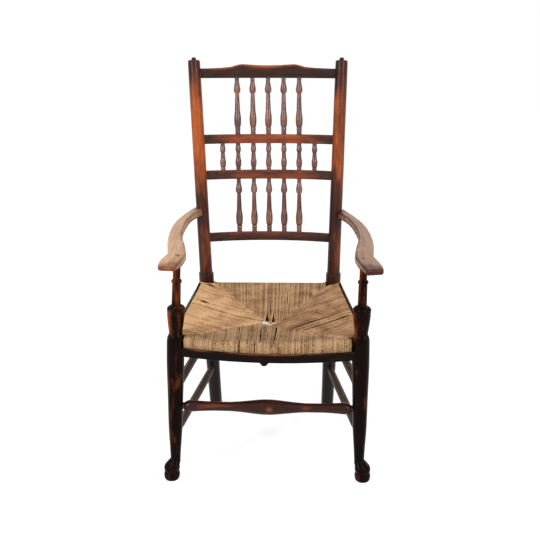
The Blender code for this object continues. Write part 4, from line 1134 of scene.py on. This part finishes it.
def back_below(rush, field, edge, places, radius):
    """A strand's stretch that runs back under the seat."""

    def below(place):
        found = rush.ray_cast(Vector((*place, BELOW_SEAT)), Vector((0, 0, 1)))[0]
        return found.z if found else UNDERSIDE

    turn = edge + field.inward * 0.0160
    path = [(turn, below(turn) + radius)]
    for share in (0.35, 0.70, 0.97):
        place = places[min(len(places) - 1, int(share * len(places)))]
        path.append((place, below(place) + radius + 0.0006))
    return path


def strand_path(rush, uprights, field, c, radius, rng):
    """The path of one strand: down at the seam, over the top, round the edge and back below."""
    start = Vector((*field.start(c), EDGE_LEVEL))
    hit = rush.ray_cast(start, Vector((*field.inward, 0.0)))[0]
    if hit is None:
        return None
    edge = Vector((hit.x, hit.y))
    # A strand that meets a leg or post ends at it and isn't wrapped round the edge
    held = any(tree.find_nearest(hit, 0.0045)[0] is not None for tree in uprights)
    held = held or (field.side and c > LAST_WRAPPED)
    lift = rng.uniform(-0.0005, 0.0004)
    places = field.trace(edge, c)
    shortest = 0.030 if held and field.side else 0.010
    if len(places) * field.step < shortest or len(places) >= field.most_steps:
        return None
    path = over_the_top(rush, field, c, places, held, radius, lift)
    if path is None:
        return None
    if held:
        path.append((edge - field.inward * 0.0040, path[-1][1]))
    else:
        path += round_the_edge(field, c, edge, path[-1][1], radius)
        path += back_below(rush, field, edge, places, radius)
    return [Vector((*place, level)) for place, level in path]


def pith_flecks(rush, rng):
    """Paths of the short pale ends of pith that stand up where the four seams meet."""
    flecks = []
    for _ in range(26):
        x = CENTRE[0] + 0.004 + rng.choice((-1, -1, -1, 1)) * rng.uniform(0.0, 0.018)
        y = CENTRE[1] + rng.uniform(-0.008, 0.004)
        level = level_at(rush, (x, y))
        end_x = x + rng.uniform(-0.002, 0.002)
        end_y = y + rng.uniform(0.006, 0.012)
        flecks.append([Vector((x, y, level + 0.0002)), Vector((end_x, end_y, level + 0.0016))])
    return flecks


class CHAIR_OT_rush(bpy.types.Operator):
    """Wraps the seat rails with strands of rush in four fields"""

    bl_idname = "chair.rush"
    bl_label = "Rush seat"

    def execute(self, context):
        settings = context.scene.chair_rush
        rng = random.Random(5)
        rush = tree_of("rush_seat")
        kinds = ("front_leg", "back_post")
        uprights = [tree_of(f"{name}_{kind}") for name, _ in SIDES for kind in kinds]
        for name in FIELDS:
            field = Field(name)
            count = int((field.span[1] - field.span[0]) / settings.pitch)
            paths = []
            for i in range(count):
                even = field.span[0] + (i + 0.5) * settings.pitch
                c = even + rng.uniform(-0.0003, 0.0003)
                path = strand_path(rush, uprights, field, c, settings.radius, rng)
                if path:
                    paths.append(path)
            strand_field(name, paths, settings.radius, rng)
        strand_field("pith", pith_flecks(rush, rng), 0.0009, rng)
        # A dark core 4 mm inside the seat, put there as painted shade for the gaps between strands
        core = merged_copy("rush_seat")
        bmesh.ops.recalc_face_normals(core, faces=core.faces)
        core.normal_update()
        for vert in core.verts:
            vert.co -= vert.normal * 0.0040
        finished("rush_packing_shade", core, "packed_rush", ["rush_seat"])
        return {"FINISHED"}


def strand_field(side, paths, radius, rng):
    """A field of strands as one mesh, each strand with its own tone."""
    name = f"rush_{side}_strands"
    curve = bpy.data.curves.new(name, "CURVE")
    curve.dimensions = "3D"
    curve.bevel_depth = radius
    curve.bevel_resolution = 1
    curve.use_fill_caps = True
    for path in paths:
        spline = curve.splines.new("POLY")
        spline.points.add(len(path) - 1)
        for point, place in zip(spline.points, path):
            point.co = (*place, 1.0)
            point.radius = rng.uniform(0.90, 1.08)
    holder = bpy.data.objects.new(name, curve)
    bpy.context.scene.collection.objects.link(holder)
    bpy.context.view_layer.update()
    graph = bpy.context.evaluated_depsgraph_get()
    mesh = bpy.data.meshes.new_from_object(holder.evaluated_get(graph))
    bpy.data.objects.remove(holder)
    bpy.data.curves.remove(curve)
    bm = bmesh.new()
    bm.from_mesh(mesh)
    bpy.data.meshes.remove(mesh)
    bmesh.ops.recalc_face_normals(bm, faces=bm.faces)
    tone = bm.verts.layers.float.new("tone")
    seen = set()
    for first in bm.verts:
        if first in seen:
            continue
        value = rng.random()
        seen.add(first)
        queue = [first]
        while queue:
            vert = queue.pop()
            vert[tone] = value
            for edge in vert.link_edges:
                other = edge.other_vert(vert)
                if other not in seen:
                    seen.add(other)
                    queue.append(other)
    finished(name, bm, f"twisted_rush_{side}", ["rush_seat"], angle=80.0)


# Finishes

# Dark colour mixed in by the dirt and shade mark: grime at joints and ends, and painted shade under
# the seat, under the arms and on shaded sides
GRIME_AND_SHADE = "#120b09"


def new_finish(name):
    """A new material's node tree, its shader, and the place on the object that patterns read."""
    material = bpy.data.materials.new(name)
    material.use_nodes = True
    tree = material.node_tree
    place = add_node(tree, "ShaderNodeTexCoord").outputs["Object"]
    return tree, tree.nodes["Principled BSDF"], place


def wood(name, grain, stain, bare, rough=0.24, fibre=0.0012, coat=0.06, shine=0.16):
    """Stained open-grained wood: fibres along an axis, uneven stain, wear down to bare wood, and
    darkening by dirt and painted shade.

    Ash pores are about 0.3 mm wide. They are drawn 1.2 to 1.8 mm wide, as coarse as shows.
    """
    tree, shader, place = new_finish(name)
    noise = {}
    # Each pattern's length along the grain and its width across, in metres
    for kind, along, across, settings in (
        ("fibres", 0.045, fibre, {"Detail": 3.0, "Roughness": 0.6}),
        ("figure", 0.120, 0.009, {"Detail": 4.0, "Distortion": 0.6}),
        ("patches", 0.080, 0.020, {"Detail": 4.0, "Roughness": 0.6}),
    ):
        scale = [1 / along if axis == grain else 1 / across for axis in "XYZ"]
        drawn = add_node(tree, "ShaderNodeMapping", inputs={"Vector": place, "Scale": scale})
        inputs = {"Vector": drawn.outputs["Vector"], "Scale": 1.0, **settings}
        noise[kind] = add_node(tree, "ShaderNodeTexNoise", inputs=inputs).outputs["Fac"]
    inputs = {"Factor": 0.45, "A": noise["figure"], "B": noise["fibres"]}
    blend = add_node(tree, "ShaderNodeMix", inputs=inputs).outputs[0]
    tones = []
    for stops, colours in (((0.38, 0.66), stain), ((0.34, 0.60), bare)):
        node = add_node(tree, "ShaderNodeValToRGB", inputs={"Fac": blend})
        for element, position, colour in zip(node.color_ramp.elements, stops, colours):
            element.position = position
            element.color = linear(colour)
        tones.append(node.outputs["Color"])
    wear, dirt_and_shade = (
        add_node(tree, "ShaderNodeAttribute", {"attribute_name": key}).outputs["Fac"]
        for key in ("wear", "dirt_and_shade")
    )
    uneven = add_node(
        tree,
        "ShaderNodeMath",
        {"operation": "MULTIPLY_ADD"},
        {0: noise["patches"], 1: 1.3, 2: wear},
    )
    rubbed = add_node(
        tree,
        "ShaderNodeMapRange",
        inputs={"Value": uneven.outputs[0], "From Min": 0.75, "From Max": 1.35},
    )
    worn = add_node(
        tree,
        "ShaderNodeMix",
        {"data_type": "RGBA"},
        {"Factor": rubbed.outputs["Result"], "A": tones[0], "B": tones[1]},
    )
    # Mixes in the dark colour by the dirt and shade mark: grime and painted shade
    grime_and_shade_mix = add_node(
        tree,
        "ShaderNodeMix",
        {"data_type": "RGBA"},
        {"Factor": dirt_and_shade, "A": worn.outputs["Result"], "B": linear(GRIME_AND_SHADE)},
    )
    gloss = add_node(
        tree,
        "ShaderNodeMapRange",
        inputs={"Value": noise["patches"], "To Min": rough - 0.06, "To Max": rough + 0.10},
    )
    relief = add_node(
        tree, "ShaderNodeBump", inputs={"Strength": 0.25, "Distance": 0.0004, "Height": blend}
    )
    finish = {
        "Base Color": grime_and_shade_mix.outputs["Result"],
        "Roughness": gloss.outputs["Result"],
        "Normal": relief.outputs["Normal"],
        "Specular IOR Level": shine,
        "Coat Weight": coat,
        "Coat Roughness": 0.14,
    }
    connect(tree, shader, finish)


def rush_finish(name, light, middle, dark, shine=0.20):
    """Dry rush: straw strands of different age, flecked and matt.

    Its flecks are about 4 mm long and its clouds of age about 40 mm wide.
    """
    tree, shader, place = new_finish(name)
    tone = add_node(tree, "ShaderNodeAttribute", {"attribute_name": "tone"}).outputs["Fac"]
    flecks, clouds = (
        add_node(tree, "ShaderNodeTexNoise", inputs={"Vector": place, **settings}).outputs["Fac"]
        for settings in (
            {"Scale": 230.0, "Detail": 4.0, "Roughness": 0.7},
            {"Scale": 24.0, "Detail": 4.0},
        )
    )
    both = add_node(tree, "ShaderNodeMix", inputs={"Factor": 0.40, "A": flecks, "B": clouds})
    mixed = add_node(
        tree, "ShaderNodeMix", inputs={"Factor": 0.15, "A": both.outputs[0], "B": tone}
    )
    colour = add_node(tree, "ShaderNodeValToRGB", inputs={"Fac": mixed.outputs[0]})
    stops = colour.color_ramp.elements
    for stop, position, shade in zip(stops, (0.37, 0.59), (dark, light)):
        stop.position = position
        stop.color = linear(shade)
    stops.new(0.47).color = linear(middle)
    relief = add_node(
        tree, "ShaderNodeBump", inputs={"Strength": 0.4, "Distance": 0.0006, "Height": flecks}
    )
    finish = {
        "Base Color": colour.outputs["Color"],
        "Normal": relief.outputs["Normal"],
        "Roughness": 0.65,
        "Specular IOR Level": shine,
    }
    connect(tree, shader, finish)


class CHAIR_OT_finishes(bpy.types.Operator):
    """Mixes the stains, the bare wood and the rush"""

    bl_idname = "chair.finishes"
    bl_label = "Finishes"

    def execute(self, context):
        own = context.scene.chair_finishes
        # Turned ash under old brown stain, waxed: amber streaks where rubbed, and a satin gloss
        wood("amber_stained_ash", "Z", (own.post_dark, "#5e2f20"), ("#8a3f1c", own.post_worn))
        # Slim turned ash, redder and polished: each spindle shows a bright line of light
        wood(
            "red_stained_ash", "Z", ("#3c1a10", "#743e2d"), ("#864a34", "#b87655"),
            rough=0.18, coat=0.30, shine=0.60,
        )
        # Sawn and bent ash: a dusty brown face with a red-brown edge where hands pull the chair
        wood("rubbed_stained_ash", "X", ("#35201b", "#563429"), ("#823e24", "#a8532f"))
        # Turned ash under nearly black stain: deep and smooth, with orange wear on the column
        wood(
            "dark_stained_ash", "Z", (own.leg_dark, "#190905"), ("#6a2c14", "#a4521f"),
            rough=0.18, coat=0, shine=0.04,
        )
        # The same stain on the front and back stretchers, thinner, with the grain across
        wood(
            "dark_stained_ash_across", "X", ("#28130e", "#42231b"), ("#5e2f20", "#a04e28"),
            shine=0.12,
        )
        # Thin sawn slats stained black: they read as a dark line with a rubbed upper rim
        wood(
            "black_stained_ash", "X", ("#140907", "#21110e"), ("#5e2f20", "#94512f"),
            coat=0, shine=0.05,
        )
        # Turned ash gone dry and dull at the sides: a flat grey-brown
        wood(
            "dark_stained_ash_deep", "Y", ("#38251c", "#5a4030"), ("#5a4032", "#8a6a52"),
            rough=0.45, shine=0.08,
        )
        # A replaced slat of bare ash weathered to green-grey, matt
        wood(
            "grey_stained_ash", "Y", ("#4f4e42", "#6d6a5c"), ("#6f6a5c", "#8f8a78"),
            rough=0.42, shine=0.14,
        )
        # Sawn ash handled down to the wood: pale open grain on top, warm brown in its low places
        wood(
            "handled_ash", "Y", ("#6e3618", "#9c5c30"), ("#ae7f56", own.arm_worn),
            rough=0.28, fibre=0.0018,
        )
        # The other arm, less worn: a greyer top and a dark red nose with a harder gloss
        wood(
            "handled_ash_brown", "Y", ("#3c140a", "#6c2e18"), ("#865e42", "#a57c5d"),
            rough=0.22, fibre=0.0018,
        )
        # Cut end of a leg's peg: end grain full of dirt, a grey oval in the arm
        wood("peg_end_grain", "Z", ("#5f5a4e", "#7f7868"), ("#6a6456", "#8a7f6a"), rough=0.5)
        # Sawn ash never stained, inside the rush: plain and dry
        wood("bare_ash", "X", ("#a5825a", "#c7a67b"), ("#b8955f", "#d8bd93"), rough=0.6, coat=0.0)
        # Twisted rush, lightest on the left where it faces the light
        rush_finish("twisted_rush_left", own.rush_light, "#c29265", "#8f663f")
        # Twisted rush on the right, browner and darker: painted shade on the field the light falls
        # on least
        rush_finish("twisted_rush_right", "#c59d79", "#996f49", "#694728")
        # Twisted rush at the front, greyer and darker: painted shade where the field dips away from
        # the light behind the front fold
        rush_finish("twisted_rush_front", "#c6a27b", "#98754f", "#5f4429")
        # Twisted rush at the back, golden brown
        rush_finish("twisted_rush_back", "#d6ae84", "#a87e57", "#70502f")
        # White pith of broken rush: small bright flecks at the centre
        rush_finish("twisted_rush_pith", "#fbf8f4", "#f1ebe2", "#cdbfae")
        # Rush stuffed inside the seat, nearly black with no shine: painted shade that shows in the
        # gaps between strands
        rush_finish("packed_rush", own.rush_dark, "#1c1209", "#0d0804", shine=0.0)
        return {"FINISHED"}


# Stage

FLOOR_GLOW = 0.76
WORLD_LIGHT = 0.62
# Each softbox: its place and its power in watts
SOFTBOXES = {
    "left_softbox": ((-1.6, -1.6, 1.75), 36.0),
    "right_softbox": ((1.6, -1.6, 1.70), 26.0),
}


def seen_directly(tree):
    """A socket that is 1 for rays from the camera, a reflection or through glass."""
    rays = add_node(tree, "ShaderNodeLightPath").outputs
    seen = rays["Is Camera Ray"]
    for kind in ("Is Glossy Ray", "Is Transmission Ray"):
        inputs = {0: seen, 1: rays[kind]}
        seen = add_node(tree, "ShaderNodeMath", {"operation": "MAXIMUM"}, inputs).outputs[0]
    return seen


def lay_floor(scene):
    """Lays a matt painted floor: white to the camera, and it keeps the chair's soft shadow."""
    bm = bmesh.new()
    bmesh.ops.create_grid(bm, x_segments=1, y_segments=1, size=9.0)
    mesh = bpy.data.meshes.new("floor")
    bm.to_mesh(mesh)
    bm.free()
    floor = bpy.data.objects.new("floor", mesh)
    scene.collection.objects.link(floor)
    pale = bpy.data.materials.new("pale_floor")
    pale.use_nodes = True
    tree = pale.node_tree
    tree.nodes.clear()
    matt = add_node(tree, "ShaderNodeBsdfDiffuse", inputs={"Color": linear("#b8b8b8")})
    inputs = {0: seen_directly(tree), 1: FLOOR_GLOW}
    strength = add_node(tree, "ShaderNodeMath", {"operation": "MULTIPLY"}, inputs).outputs[0]
    inputs = {"Color": linear("#ffffff"), "Strength": strength}
    glow = add_node(tree, "ShaderNodeEmission", inputs=inputs)
    both = add_node(tree, "ShaderNodeAddShader", inputs={0: matt.outputs[0], 1: glow.outputs[0]})
    add_node(tree, "ShaderNodeOutputMaterial", inputs={"Surface": both.outputs[0]})
    mesh.materials.append(pale)


def light_world(scene):
    """Lights the chair evenly from a world that is white to the camera."""
    world = bpy.data.worlds.new("studio")
    scene.world = world
    world.use_nodes = True
    tree = world.node_tree
    tree.nodes.clear()
    white = linear("#ffffff")
    lit, seen = (
        add_node(tree, "ShaderNodeBackground", inputs={"Color": white, "Strength": strength})
        for strength in (WORLD_LIGHT, 1.0)
    )
    inputs = {0: seen_directly(tree), 1: lit.outputs[0], 2: seen.outputs[0]}
    chosen = add_node(tree, "ShaderNodeMixShader", inputs=inputs)
    add_node(tree, "ShaderNodeOutputWorld", inputs={"Surface": chosen.outputs[0]})


def hang_softboxes(scene):
    """Hangs a narrow upright softbox on each side, turned to the chair's middle."""
    for name, (place, power) in SOFTBOXES.items():
        lamp = bpy.data.lights.new(name, "AREA")
        lamp.shape = "RECTANGLE"
        lamp.size = 0.16
        lamp.size_y = 1.8
        lamp.energy = power
        holder = bpy.data.objects.new(name, lamp)
        holder.location = place
        aim = Vector((0.0, 0.0, 0.55)) - Vector(place)
        holder.rotation_euler = aim.to_track_quat("-Z", "Y").to_euler()
        scene.collection.objects.link(holder)


def place_camera(scene):
    """Places the camera where the photograph was taken from, fitted to the chair's edges."""
    camera = bpy.data.cameras.new("camera")
    camera.sensor_width = 36.0
    camera.lens = 55.15
    camera.shift_x = 0.00933
    camera.shift_y = -0.01007
    view = bpy.data.objects.new("camera", camera)
    view.location = (0.0260, -2.2720, 1.2507)
    view.rotation_euler = (math.radians(73.136), 0.0, math.radians(0.951))
    scene.collection.objects.link(view)
    scene.camera = view


class CHAIR_OT_stage(bpy.types.Operator):
    """Sets the pale floor, the soft lights and the camera"""

    bl_idname = "chair.stage"
    bl_label = "Stage"

    def execute(self, context):
        for put in (lay_floor, light_world, hang_softboxes, place_camera):
            put(context.scene)
        context.scene.view_settings.view_transform = "Standard"
        return {"FINISHED"}


class CHAIR_PT_panel(bpy.types.Panel):
    """Lists the armchair's pieces and settings"""

    bl_idname = "CHAIR_PT_panel"
    bl_label = "Armchair"
    bl_space_type = "VIEW_3D"
    bl_region_type = "UI"
    bl_category = "Armchair"

    def draw(self, context):
        for name in GROUPS:
            group = getattr(context.scene, name)
            for key in group.bl_rna.properties.keys():
                if key not in ("rna_type", "name"):
                    self.layout.prop(group, key)
        for operator in STEPS:
            self.layout.operator(operator.bl_idname)


GROUPS = {
    "chair_turnings": TurningSettings,
    "chair_rush": RushSettings,
    "chair_finishes": FinishSettings,
}
STEPS = (
    CHAIR_OT_finishes,
    CHAIR_OT_uprights,
    CHAIR_OT_spindles,
    CHAIR_OT_stretchers,
    CHAIR_OT_back_rails,
    CHAIR_OT_arms,
    CHAIR_OT_slats,
    CHAIR_OT_rush,
    CHAIR_OT_stage,
)


def register():
    """Registers the settings, the operators and the panel."""
    for cls in (*GROUPS.values(), *STEPS, CHAIR_PT_panel):
        bpy.utils.register_class(cls)
    for name, group in GROUPS.items():
        setattr(bpy.types.Scene, name, PointerProperty(type=group))


def unregister():
    """Takes the settings, the operators and the panel away."""
    for name in GROUPS:
        delattr(bpy.types.Scene, name)
    for cls in (CHAIR_PT_panel, *reversed(STEPS), *GROUPS.values()):
        bpy.utils.unregister_class(cls)


def main():
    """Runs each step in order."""
    register()
    bpy.ops.chair.finishes()
    bpy.ops.chair.uprights()
    bpy.ops.chair.spindles()
    bpy.ops.chair.stretchers()
    bpy.ops.chair.back_rails()
    bpy.ops.chair.arms()
    bpy.ops.chair.slats()
    bpy.ops.chair.rush()
    bpy.ops.chair.stage()


if __name__ == "__main__":
    main()
